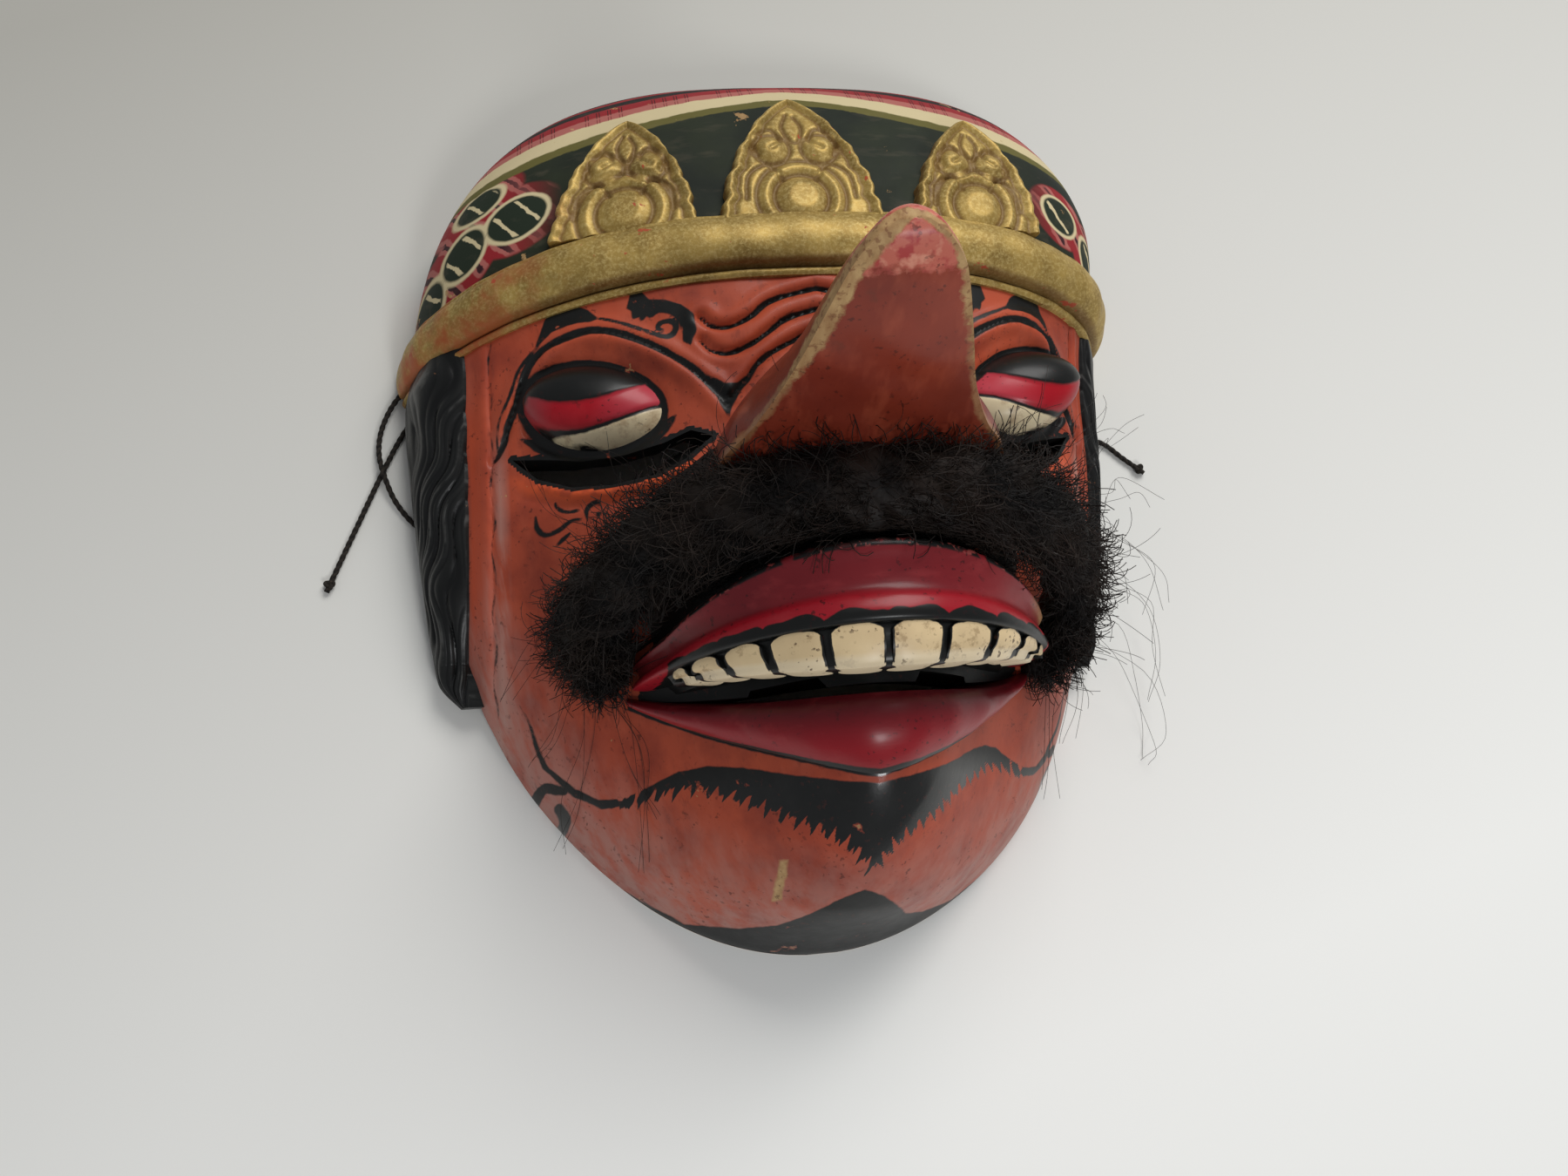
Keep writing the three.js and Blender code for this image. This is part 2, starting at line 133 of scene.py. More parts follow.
# The carving's own sizes, as in the solids.
HALF_WIDTH, EYE_LINE, CROWN_REACH, CHIN_REACH = 78, 25, 75, 118.5
LOCK_INNER = HALF_WIDTH - 10.6
SQUARE, DOME_HEIGHT, WALL, RIM_ARCH = 2.85, 42, 7, 5
FOOT_LIFT = 0.3
FRAME_SHIFT = (8.76, -3.25, 0)
# A distance that no paint reaches.
FAR = 9.0
SIDE = {-1: "left", 1: "right"}
# How far the face leans to the left, and how much its right half is tucked in.
LEAN, TUCK = 8, 0.06
CHIN_SWELL, SOCKET_DEPTH = 24, 3


def rim_share(x, y, inset=0):
    """0 in the middle of the mask and 1 at its outline, drawn in by inset."""
    up = y > EYE_LINE
    p = np.where(up, SQUARE, 2)
    reach = np.where(up, CROWN_REACH, CHIN_REACH) - inset
    return ((abs(x) / (HALF_WIDTH - inset)) ** p + (abs(y - EYE_LINE) / reach) ** p) ** (1 / p)


def dome_profile(s, y):
    """Height of the dome, from 1 to 0 at the rim; it stands fuller towards the crown."""
    return clamp(1 - s**2.2) ** (0.62 - 0.28 * smooth(12, 62, y))


def skin(x, y, grow=0):
    """Height of the bare face."""
    s = rim_share(x, y, -grow)
    depth = np.where(y < -62, ((y + 62) / 34) ** 2, ((y + 62) / 46) ** 2)
    chin = np.exp(-((x / 25) ** 2)) * clamp(1 - depth) ** 0.6
    socket = np.exp(-(((abs(x) - 43) / 15) ** 2) - ((y - 12) / 11) ** 2)
    dome = (DOME_HEIGHT + grow) * dome_profile(s, y)
    return dome + CHIN_SWELL * chin * smooth(1, 0.93, s) - SOCKET_DEPTH * socket


def rim_half(y):
    """Half breadth of the outline."""
    up = y > EYE_LINE
    p = np.where(up, SQUARE, 2)
    t = abs(y - EYE_LINE) / np.where(up, CROWN_REACH, CHIN_REACH)
    return HALF_WIDTH * clamp(1 - t**p) ** (1 / p)


def lean(points):
    """Leans the symmetric carving as the hand-cut one leans, and puts it in the frame, in metres."""
    x, y, z = np.asarray(points, float).T
    share = 1 - smooth(20, 130, y) - 0.3 * smooth(-20, -80, y)
    tuck = TUCK * smooth(70, 30, y) * smooth(-85, -30, y)
    x = x + (-LEAN * share - np.maximum(0, x) * tuck) * clamp(1 - z / 45)
    return (np.c_[x, y, z] + FRAME_SHIFT) / 1000


def unevenness(x, y):
    """Slow waves left by the knife."""
    return 0.12 * (np.sin(0.21 * x + 0.13 * y + 1) + np.sin(0.17 * y - 0.11 * x + 2) * np.sin(0.09 * x + 1)
                   + 0.5 * np.sin(0.43 * x - 0.31 * y) * np.sin(0.37 * y + 0.5))


# Meshes.
def new_mesh(name, points, quads=(), tris=()):
    """Smooth mesh, turned right side out."""
    mesh = bpy.data.meshes.new(name)
    quads = np.asarray(quads, np.int32).reshape(-1, 4)
    tris = np.asarray(tris, np.int32).reshape(-1, 3)
    loops = np.r_[quads.ravel(), tris.ravel()]
    starts = np.r_[np.arange(len(quads)) * 4, len(quads) * 4 + np.arange(len(tris)) * 3]
    mesh.vertices.add(len(points))
    mesh.vertices.foreach_set("co", np.asarray(points, np.float32).ravel())
    mesh.loops.add(len(loops))
    mesh.loops.foreach_set("vertex_index", loops)
    mesh.polygons.add(len(starts))
    mesh.polygons.foreach_set("loop_start", starts.astype(np.int32))
    mesh.update(calc_edges=True)
    mesh.polygons.foreach_set("use_smooth", np.ones(len(starts), bool))
    if signed_volume(mesh) < 0:
        mesh.flip_normals()
    return mesh


def coords(mesh):
    flat = np.zeros(len(mesh.vertices) * 3, np.float32)
    mesh.vertices.foreach_get("co", flat)
    return flat.reshape(-1, 3).astype(float)


def signed_volume(mesh):
    mesh.calc_loop_triangles()
    tri = np.zeros(len(mesh.loop_triangles) * 3, np.int32)
    mesh.loop_triangles.foreach_get("vertices", tri)
    a, b, c = coords(mesh)[tri.reshape(-1, 3)].transpose(1, 0, 2)
    return float(np.einsum("ij,ij->i", a, np.cross(b, c)).sum())


def show(name, data):
    """Puts a mesh, light or camera into the scene."""
    made = bpy.data.objects.new(name, data)
    bpy.context.scene.collection.objects.link(made)
    return made


def add_piece(name, shape, material, fields=None, bend=True, crease=50):
    """Finishes a shape made in millimetres: paint fields, lean, place, material and body."""
    mesh = new_mesh(name, *shape) if isinstance(shape, tuple) else shape
    points = coords(mesh)
    for key, values in (fields or {}).items():
        layer = mesh.attributes.new(key, "FLOAT", "POINT")
        layer.data.foreach_set("value", np.asarray(values, np.float32))
    placed = lean(points) if bend else points / 1000
    mesh.vertices.foreach_set("co", placed.astype(np.float32).ravel())
    mesh.update()
    if crease:
        mesh.set_sharp_from_angle(angle=math.radians(crease))
    mesh.materials.clear()
    mesh.materials.append(material)
    piece = show(name, mesh)
    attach(piece, "root")
    return piece


def loft(rings):
    """Closed shape through rings of equally many points: rings x points x 3."""
    rings = np.asarray(rings, float)
    rows, n = rings.shape[:2]
    k = np.arange(n)
    m = (k + 1) % n
    quads = [np.c_[r * n + k, r * n + m, (r + 1) * n + m, (r + 1) * n + k] for r in range(rows - 1)]
    points = np.r_[rings.reshape(-1, 3), [rings[0].mean(0)], [rings[-1].mean(0)]]
    last = (rows - 1) * n
    tris = np.r_[np.c_[np.full(n, rows * n), m, k], np.c_[np.full(n, rows * n + 1), last + k, last + m]]
    return points, np.concatenate(quads), tris


def slab(top, bottom):
    """Closed shape between two grids of columns x rows x 3."""
    columns, rows = top.shape[:2]
    index = np.arange(columns * rows).reshape(columns, rows)
    low, high = slice(None, -1), slice(1, None)
    a, b, c, d = (index[i, j].ravel() for i, j in ((low, low), (high, low), (high, high), (low, high)))
    half = columns * rows
    quads = [np.c_[a, b, c, d], np.c_[a, d, c, b] + half]
    rim = np.r_[index[:, 0], index[-1, 1:], index[-2::-1, -1], index[0, -2:0:-1]]
    after = np.roll(rim, -1)
    quads.append(np.c_[rim, rim + half, after + half, after])
    return np.r_[top.reshape(-1, 3), bottom.reshape(-1, 3)], np.concatenate(quads)


def raised(place, relief, columns, rows, depth):
    """Relief on a surface: columns x rows grid lifted along the surface's normal and sunk below it."""
    u, v = np.meshgrid(np.linspace(0, 1, columns), np.linspace(0, 1, rows), indexing="ij")
    e = 1e-3
    p = place(u, v)
    du = place(np.minimum(1, u + e), v) - place(np.maximum(0, u - e), v)
    dv = place(u, np.minimum(1, v + e)) - place(u, np.maximum(0, v - e))
    n = np.cross(du, dv)
    n /= np.maximum(np.linalg.norm(n, axis=2, keepdims=True), 1e-9)
    n *= np.where(n[..., 2:] < -0.2, -1, 1)
    points, quads = slab(p + n * relief(u, v)[..., None], p - n * depth)
    return points, quads, np.r_[u.ravel(), u.ravel()], np.r_[v.ravel(), v.ravel()]


LEAST_POINTS_AFTER_CUT = 100


def cut(name, mesh, cutters):
    """Takes closed cutter meshes out of a closed mesh."""
    solid = show(name, mesh)
    tools = []
    for k, cutter in enumerate(cutters):
        tools.append(show(f"{name}_cutter_{k}", cutter))
        step = solid.modifiers.new(f"cut_{k}", "BOOLEAN")
        step.operation, step.solver, step.object = "DIFFERENCE", "MANIFOLD", tools[-1]
    made = bpy.data.meshes.new_from_object(solid.evaluated_get(bpy.context.evaluated_depsgraph_get()))
    made.name = name
    for o in [solid, *tools]:
        old = o.data
        bpy.data.objects.remove(o)
        bpy.data.meshes.remove(old)
    if len(made.vertices) < LEAST_POINTS_AFTER_CUT:
        raise RuntimeError(f"{name} was lost while cutting")
    made.polygons.foreach_set("use_smooth", np.ones(len(made.polygons), bool))
    return made


def tube(path, radius, sides=8):
    """Rings of one radius round a path of points."""
    path = np.asarray(path, float)
    t = np.gradient(path, axis=0)
    t /= np.linalg.norm(t, axis=1, keepdims=True)
    n = np.zeros_like(t)
    ref = np.cross(t[0], [0.3, 0.2, 0.9])
    for i in range(len(t)):
        ref = ref - t[i] * (ref @ t[i])
        ref /= np.linalg.norm(ref)
        n[i] = ref
    b = np.cross(t, n)
    a = np.linspace(0, 2 * np.pi, sides, endpoint=False)
    spokes = np.cos(a)[None, :, None] * n[:, None] + np.sin(a)[None, :, None] * b[:, None]
    return path[:, None] + radius * spokes


# Shader expressions.
BUMP_STRENGTH = 0.6
# Where the Mix node keeps its colour sockets.
MIX_SHARE, MIX_UNDER, MIX_OVER, MIX_RESULT = 0, 6, 7, 2


class Number:
    """One value in a material. The usual signs add Math nodes."""

    def __init__(self, paint, socket):
        self.paint, self.socket = paint, socket

    def sum_up(self, kind, *others, **settings):
        return self.paint.math(kind, self, *others, **settings)

    def __add__(self, o): return self.sum_up("ADD", o)
    def __sub__(self, o): return self.sum_up("SUBTRACT", o)
    def __mul__(self, o): return self.sum_up("MULTIPLY", o)
    def __truediv__(self, o): return self.sum_up("DIVIDE", o)
    def __rsub__(self, o): return self.paint.math("SUBTRACT", o, self)
    __radd__, __rmul__ = __add__, __mul__

    def high(self, o): return self.sum_up("MAXIMUM", o)
    def sine(self): return self.sum_up("SINE")
    def size(self): return self.sum_up("ABSOLUTE")
    def fraction(self): return self.sum_up("FRACT")
    def held(self): return self.sum_up("ADD", 0.0, use_clamp=True)

    def ramp(self, start, end):
        """0 at start and 1 at end, in either direction."""
        return ((self - start) / (end - start)).held()

    def inside(self, soft=0.12, edge=0.0):
        """1 where a drawn distance is below edge."""
        return self.ramp(edge + soft, edge - soft)


class Paint:
    """A material, one node at a time; tone is the colour painted so far."""

    def __init__(self, name):
        self.material = bpy.data.materials.new(name)
        self.material.use_nodes = True
        self.tree = self.material.node_tree
        self.tree.nodes.clear()
        self.place = self.node("ShaderNodeTexCoord", {}, out="Object")

    def node(self, kind, settings, *values, out=0, **named):
        made = self.tree.nodes.new(kind)
        for key, value in settings.items():
            setattr(made, key, value)
        for key, value in [*enumerate(values), *named.items()]:
            if value is None:
                continue
            if isinstance(value, Number):
                value = value.socket
            target = made.inputs[key.replace("_", " ") if isinstance(key, str) else key]
            if isinstance(value, bpy.types.NodeSocket):
                self.tree.links.new(value, target)
            else:
                target.default_value = value
        return made.outputs[out]

    def math(self, kind, *values, **settings):
        return Number(self, self.node("ShaderNodeMath", {"operation": kind, **settings}, *values))

    def field(self, name):
        return Number(self, self.node("ShaderNodeAttribute", {"attribute_name": name}, out="Fac"))

    def fields(self, *names):
        return [self.field(name) for name in names]

    def axis(self, letter):
        return Number(self, self.node("ShaderNodeSeparateXYZ", {}, self.place, out=letter)) * 1000

    def stretched(self, scale):
        return self.node("ShaderNodeMapping", {}, Vector=self.place, Scale=scale)

    def noise(self, scale, detail=3.0, rough=0.55, where=None):
        return Number(self, self.node("ShaderNodeTexNoise", {}, Vector=where or self.place, Scale=scale,
                                      Detail=detail, Roughness=rough, out="Fac"))

    def blend(self, factor, under, over):
        """Colour over another where factor is 1."""
        made = self.tree.nodes.new("ShaderNodeMix")
        made.data_type = "RGBA"
        for slot, value in ((MIX_SHARE, factor), (MIX_UNDER, under), (MIX_OVER, over)):
            if isinstance(value, Number):
                value = value.socket
            if isinstance(value, bpy.types.NodeSocket):
                self.tree.links.new(value, made.inputs[slot])
            else:
                made.inputs[slot].default_value = (*value, 1) if isinstance(value, tuple) else value
        return made.outputs[MIX_RESULT]

    def over(self, factor, colour):
        """Paints a colour over the tone where factor is 1."""
        self.tone = self.blend(factor, self.tone, colour)

    def finish(self, rough, height=None, depth=0.0002, coat=None, metallic=None, coat_rough=0.15, gloss=0.27):
        normal = None
        if height is not None:
            normal = self.node("ShaderNodeBump", {}, Strength=BUMP_STRENGTH, Distance=depth, Height=height,
                               out="Normal")
        shader = self.node("ShaderNodeBsdfPrincipled", {}, Base_Color=self.tone, Roughness=rough,
                           Normal=normal, Coat_Weight=coat, Metallic=metallic, Coat_Roughness=coat_rough,
                           Specular_IOR_Level=gloss)
        end = self.tree.nodes.new("ShaderNodeOutputMaterial")
        self.tree.links.new(shader, end.inputs["Surface"])
        return self.material


def length_value(label, words, value):
    return bpy.props.FloatProperty(name=label, description=words, default=value, min=0, unit="LENGTH")


def colour_value(label, words, value):
    return bpy.props.FloatVectorProperty(
        name=label, description=words, default=value, size=3, subtype="COLOR", min=0, max=1)


class CarvingSizes(bpy.types.PropertyGroup):
    """Sizes of the fine carving and of the hair."""
    groove: length_value("Groove depth", "Depth of the carved forehead lines", 0.0011)
    leaf_edge: length_value("Leaf edge", "Height of the raised outline on each gilt leaf", 0.0009)
    hair_thickness: length_value("Hair thickness", "Radius of one hair of the moustache", 0.00009)
    hair_count: bpy.props.IntProperty(
        name="Hairs", description="Hairs on each half of the moustache", default=4300, min=1)
    cord_diameter: length_value("Cord diameter", "Thickness of the twisted tie cord", 0.0012)


class PaintColours(bpy.types.PropertyGroup):
    """Colours of the paint layers."""
    lacquer: colour_value("Face lacquer", "Orange-red of the face", srgb(186, 80, 50))
    deep: colour_value("Deep lacquer", "Darker red-brown where the paint lies thick", srgb(122, 44, 34))
    ink: colour_value("Black", "Black of hair, brows and outlines", srgb(19, 20, 19))
    bare: colour_value("Bare wood", "Wood where the paint has worn off", srgb(205, 170, 118))
    gilt: colour_value("Gilding", "Dull gold of the headband", srgb(184, 154, 84))
    crimson: colour_value("Crimson", "Lips and the red of the eyes", srgb(160, 22, 36))
    cream: colour_value("Cream", "Teeth and eye whites", srgb(232, 206, 160))
    field: colour_value("Crown field", "Dark green of the headcloth", srgb(42, 48, 34))


def sizes():
    return bpy.context.scene.mask_sizes


def colour(name):
    return tuple(getattr(bpy.context.scene.mask_colours, name))


# Painted and carved lines of one side of the face; the other side mirrors them.
BROW_RIDGE = [[60.5, 11], [57, 21.5], [50, 28.3], [42.5, 29], [34, 25.5], [26, 19.5], [19, 13.5]]
BROW_LINE = [
    [61.8, 8.4], [59.4, 12.6], [57, 21], [53.4, 27.3], [48.5, 29.3], [42, 29.4], [33.8, 25.7], [26, 19.9],
    [18.6, 11.6],
]
BROW_MOON = [
    [54.5, 27.6], [53.5, 31.2], [51.8, 34.4], [49.2, 36.2], [46.2, 36], [43.5, 34.4], [41.4, 32],
    [43.2, 31.6], [45.8, 31.8], [48.5, 31.6], [51.2, 31], [53.2, 29.4],
]
TEMPLE_LINE = [[54.5, 28], [57.4, 24], [60, 18], [61.6, 10]]
CURL_LEAF = [
    [36.2, 37.2], [34, 36.8], [32.8, 34.8], [30, 34.4], [26.8, 33], [24.4, 30.4], [23.6, 27], [24.8, 24],
    [26.2, 25.2], [26.2, 28], [27.4, 30], [29, 31.3], [31, 31.7], [32, 30.6], [32.8, 31.4], [33.8, 30.2],
    [34.2, 31.4], [35.4, 31], [35.8, 32.8], [36.8, 33.4], [36.5, 35.2],
]
SPIRAL = [
    [41.8, 32.2], [37.2, 30.2], [33, 28], [29.8, 26.5], [27.8, 27], [27.4, 28.6], [28.6, 29.7],
    [30.4, 29.5], [30.6, 28.4], [29.6, 28],
]
WRINKLES = [
    [[23, 30], [21, 28.1], [17.8, 27.5], [13.5, 29.2], [10, 31.8], [6.2, 33.5], [0, 35]],
    [[22.8, 25.2], [20.8, 22.9], [17.5, 22], [13.5, 23.5], [9.8, 26.2], [6, 28.6], [0, 30.4]],
    [[21.8, 16], [18.6, 12.8], [15.6, 15.6], [12.5, 19.2], [8, 22.4], [3, 24.9], [0, 25.6]],
]
BROW_POINT = [[22.5, 17.5], [20.3, 12.3], [18.8, 8.2], [17.2, 12], [14.6, 17.5], [17.4, 15.6], [19.5, 15.4]]
CHEEK_CURLS = [
    [[55, -5.2], [54.8, -7.5], [53.2, -9.2], [50.8, -8.8], [48.8, -7.5], [46.5, -7.5]],
    [[50.8, -3.2], [50.4, -4.6], [48.8, -5.5], [46.5, -5.5]],
    [[45.2, -8.5], [45.5, -6.5], [44.8, -5.2], [43.5, -4.5], [42.5, -5.2]],
    [[49, -9.8], [50, -10.8], [51, -11.8]], [[43.6, -7.4], [43.2, -7.0], [42.8, -6.8]],
]
GOATEE = [
    [-8, -64.5], [0, -64.5], [7, -63.4], [13.6, -61.6], [21.7, -58.6], [27, -57.2], [31, -57.4],
    [36, -59.3], [40, -60.8], [45, -60.2], [49, -57.4], [53, -52.8], [58.4, -40], [54.2, -52.6],
    [49.6, -58.8], [44.6, -61.9], [39.6, -62.4], [35, -61.2], [28.6, -60.8], [21.8, -63.8], [14.9, -68.2],
    [9.3, -71.2], [4.6, -74.4], [0, -78.8], [-8, -76],
]
JAW_LOOP = [
    [51.0, -57.6], [54.6, -56.4], [56.2, -59.6], [55.2, -63.6], [52.4, -66.4], [50.2, -63.4], [51.8, -60.2],
]
SLIT = [
    [22, 5.4], [27, 1.4], [33, -1.1], [41, -1.7], [48, -0.8], [54, 2.2], [58.5, 7.4], [53, 6.2], [46, 4.6],
    [38, 4.2], [31, 5.2], [26, 7],
]
EYE = {"x": 42.3, "shift": 1.3, "y": 14.6, "z": 29.5, "tilt": math.radians(14),
       "long": 16, "short": 9.4, "high": 8.6}


def eye_local(x, y, side):
    """Place in an eye: -1 to 1 along it, towards the temple, and -1 to 1 up it."""
    dx, dy = x - (side * EYE["x"] + EYE["shift"]), y - EYE["y"]
    c, s = np.cos(side * EYE["tilt"]), np.sin(side * EYE["tilt"])
    return (dx * c + dy * s) * side / EYE["long"], (-dx * s + dy * c) / EYE["short"]


def eye_borders(u):
    """Height of the lid's lower edge and of the line above the white, along the eye."""
    return u * (u * (u * 0.4 + 0.5) - 1.0) + 0.07, u * (u * (u * 0.415 + 0.615) - 0.876) - 0.55


def eye_ring(x, y, z):
    """Distance outside the eyeball, in millimetres, at a point of the face."""
    u, v = eye_local(x, y, np.where(x > 0, 1, -1))
    return (np.sqrt(u**2 + v**2 + ((z - EYE["z"]) / EYE["high"]) ** 2) - 1) * EYE["short"]


def carved_lines(x, y):
    """Distance to the nearest carved forehead line."""
    ax = abs(x)
    lines = [to_path(ax, y, line)[0] for line in WRINKLES]
    return np.minimum.reduce([*lines, to_path(ax, y, BROW_LINE)[0]])


def band_y(x):
    """Middle line of the gilt band."""
    return 44.5 - 9.7 * (abs(x) / 79.4) ** 2.6


def face_height(x, y):
    """Height of the carved face, with its brows, grooves, lids and eye sockets."""
    ax = abs(x)
    h = skin(x, y) + unevenness(x, y) * smooth(1, 0.9, rim_share(x, y))
    ridge, t = to_path(ax, y, BROW_RIDGE)
    h += 1.7 * bump(ridge, 2.0) * np.sin(np.pi * mix(0.06, 0.94, t)) ** 0.5
    lines = carved_lines(x, y)
    forehead = smooth(-2, 6, y)
    h += forehead * (0.4 * bump(lines - 2.2, 1.2) - sizes().groove * 1000 * bump(lines, 0.7))
    lid = region(ax, y, SLIT)
    h += 1.0 * bump(lid - 1.5, 1.1) * smooth(3, -1, y) - 0.5 * bump(lid - 3.9, 0.9) * smooth(1, -2, y)
    h -= 0.7 * bump(eye_ring(x, y, skin(x, y)) - 0.7, 0.9)
    strip = ax - (HALF_WIDTH - 15.6)
    h += 0.7 * bump(strip - 1.6, 1.2) * smooth(-46, -38, y) * smooth(36, 30, y)
    h -= 0.5 * bump(strip, 0.5) * smooth(-46, -38, y) * smooth(36, 30, y)
    return np.where(rim_share(x, y) > 0.999, FOOT_LIFT, np.maximum(h, FOOT_LIFT))


def spread(n, crowd):
    """-1 to 1 in n steps, a little closer at both ends."""
    t = np.linspace(-1, 1, n)
    return mix(t, np.sin(t * np.pi / 2), crowd)


def shell(name, low, high, columns, rows, height, row_crowd):
    """Solid under a height map that follows the mask's outline."""
    t = np.linspace(0, 1, rows)
    y = mix(low, high, row_crowd(t))
    half = rim_half(y)
    x = half[None, :] * spread(columns, 0.42)[:, None]
    yy = np.broadcast_to(y, x.shape)
    z = height(x, yy)
    z[0, :] = z[-1, :] = FOOT_LIFT
    points, quads = slab(np.stack([x, yy, z], 2), np.stack([x, yy, np.zeros_like(x)], 2))
    return new_mesh(name, points, quads)


def hollow_cutter():
    """The carved hollow behind the face."""
    rings, count = 26, 120
    turn = np.linspace(0, 2 * np.pi, count, endpoint=False)
    up = np.sin(turn) > 0
    e = np.where(up, 2 / SQUARE, 1)
    reach = np.where(up, CROWN_REACH, CHIN_REACH) - WALL
    levels = []
    for r in range(rings + 1):
        s = 1 - (1 - max(r, 0.02) / rings) ** 1.7
        x = (HALF_WIDTH - WALL) * s * power(np.cos(turn), e)
        y = EYE_LINE + reach * s * power(np.sin(turn), e)
        inner = rim_share(x, y, WALL)
        swell = np.exp(-((x / 24) ** 2) - ((y + 40) / 26) ** 2)
        h = (DOME_HEIGHT - WALL) * dome_profile(inner, y) + 16 * swell * smooth(1, 0.8, inner)
        h += 0.25 * np.sin(x * 0.55 + np.sin(y * 0.3)) * np.sin(y * 0.42) * smooth(1, 0.9, inner)
        levels.append(np.c_[x, y, np.zeros(count) if r == rings else h])
    foot = levels[-1].copy()
    foot[:, 2] = -2
    return new_mesh("hollow_cutter", *loft([*levels, foot]))


def prism(name, outline, low, high):
    """Upright cutter; its many levels keep the cut walls finely divided for the paint."""
    outline = np.asarray(outline, float)
    levels = np.linspace(low, high, 48)
    return new_mesh(name, *loft([np.c_[outline, np.full(len(outline), z)] for z in levels]))


def arch_cutter():
    """Lifts the side rims off the table."""
    y = np.linspace(-62, 54, 60)
    top = RIM_ARCH * smooth(-62, -30, y) * smooth(54, 34, y)
    outline = np.r_[np.c_[y, top], [[54, -2], [-62, -2]]]
    outline[0, 1] = outline[59, 1] = 0.0
    return new_mesh("arch_cutter", *loft([np.c_[np.full(len(outline), x), outline] for x in (-120, 120)]))


LIP_HALF, LIP_BASE, LIP_RISE, MUZZLE_FRONT = 38.2, 27, 45, -45.5
# Heights between which a cutter passes through the face.
THROUGH = (5, 70)


# Lines of the mouth: how far up the face each one runs.
def lip_rim(x): return -26.4 - 11 * (abs(x) / 40) ** 2.2
def teeth_top(x): return -40.7 - 1.2 * (x / 36) ** 2
def teeth_foot(x): return -47.6 + 4.5 * (x / 40) ** 2
def lower_lip_top(x): return -49.9 + 6.9 * (x / 40) ** 2
def lower_lip_foot(x): return -62.5 + 19 * (abs(x) / 40) ** 1.35


def arch_point(turn, y, out):
    """Points on the arch of the upper jaw, standing out from it."""
    nx, nz = np.sin(turn) / LIP_HALF, np.cos(turn) / LIP_RISE
    size = np.hypot(nx, nz)
    return np.stack(np.broadcast_arrays(LIP_HALF * np.sin(turn) + nx / size * out, y,
                                        LIP_BASE + LIP_RISE * np.cos(turn) + nz / size * out), -1)


def mouth_cutters():
    """The open mouth, and the room behind the teeth up to the front of the muzzle."""
    x = np.linspace(-36.5, 36.5, 60)
    opening = np.r_[np.c_[x, lower_lip_top(x) + 0.1], np.c_[x, teeth_foot(x) - 0.1][::-1]]
    a = np.linspace(0, np.pi, 40)
    across, up = 29 * np.cos(a), 4 + 50 * np.sin(a) ** 0.8
    room = [np.c_[across, np.full(len(a), y), up] for y in np.linspace(-49.5, MUZZLE_FRONT, 6)]
    return [prism("mouth_front", opening, *THROUGH), new_mesh("mouth_back", *loft(room))]


def face_fields(p):
    """Paint layers of the face, as distances in millimetres."""
    x, y, z = p.T
    wx = x + 0.35 * np.sin(0.5 * y + 0.2 * x)
    ax = abs(wx)
    ink = [
        stroke(ax, y, BROW_LINE, 0.95, 0.45), region(ax, y, BROW_MOON),
        stroke(ax, y, TEMPLE_LINE, 0.4, 0.15, (False, True)), region(ax, y, CURL_LEAF),
        stroke(ax, y, SPIRAL, 0.6, 0.5),
        region(ax, y, BROW_POINT), *[stroke(ax, y, w, 0.62, 0.4, (True, False)) for w in WRINKLES],
        *[stroke(ax, y, c, 0.5, 0.4) for c in CHEEK_CURLS], stroke(ax, y, JAW_LOOP, 1.15, 0.6),
    ]
    goatee = region(ax, y, GOATEE)
    run = ax * 1.05 + y * 0.55 + np.where(x > 0, 1.7, 0)
    feather = 0.55 * np.sin(2.1 * run) + 0.5 * np.sin(3.9 * run + 0.8) + 0.35 * np.sin(7.3 * run + 2)
    middle = np.interp(ax, [0, 10, 21.8, 31, 43], [-70.5, -66.3, -61.0, -58.9, -60.4])
    below = smooth(0.2, -0.8, y - middle) * smooth(44, 36, ax)
    ink.append(goatee + 1.5 * feather * below * smooth(5, 0.8, abs(goatee)))
    chin = np.interp(ax, [0, 4, 9, 13, 18.7, 27.4, 34.5, 46, 60],
                     [-82, -83.4, -85.6, -87, -86.9, -85.2, -80.8, -73, -58])
    ring = eye_ring(x, y, z)
    slit = region(abs(x), y, SLIT)
    hairline = abs(ax - (HALF_WIDTH - 15.7)) - 0.02 - 0.16 * np.sin(y * 0.37) ** 2
    mouth = (abs(x) < 37.6) & (y < -41.5) & (y > lower_lip_top(x) - 1.0)
    opened = (slit < 0.9) | mouth
    ink += [y - chin, lower_line(x, y), abs(ring - 0.1) - 1.0, slit + 0.1,
            np.maximum.reduce([slit - 4.4, ring - 2.4, 3.0 - y]), np.maximum(hairline, abs(y + 4) - 38),
            np.maximum(LOCK_INNER - ax, abs(y + 2) - 36), np.where(opened, -1.0, FAR)]
    bare = np.where(behind(x, y, z) & ~opened, 1.0, 0.0)
    return {"ink": np.minimum.reduce(ink), "lid": slit, "inner": bare,
            "rim": np.where(z < 0.4, 0.0, (1 - rim_share(x, y)) * 60), "plan_x": x, "plan_y": y}


def behind(x, y, z):
    """Points of the hollow and of the rim's foot, where the wood is bare."""
    return (z < skin(x, y) - 2.2) | (z < 0.05)


def lower_line(x, y):
    """Black outline under the lower lip."""
    edge = y - lower_lip_foot(x)
    return np.maximum(abs(edge + 0.2) - 0.75, abs(x) - 39.5)


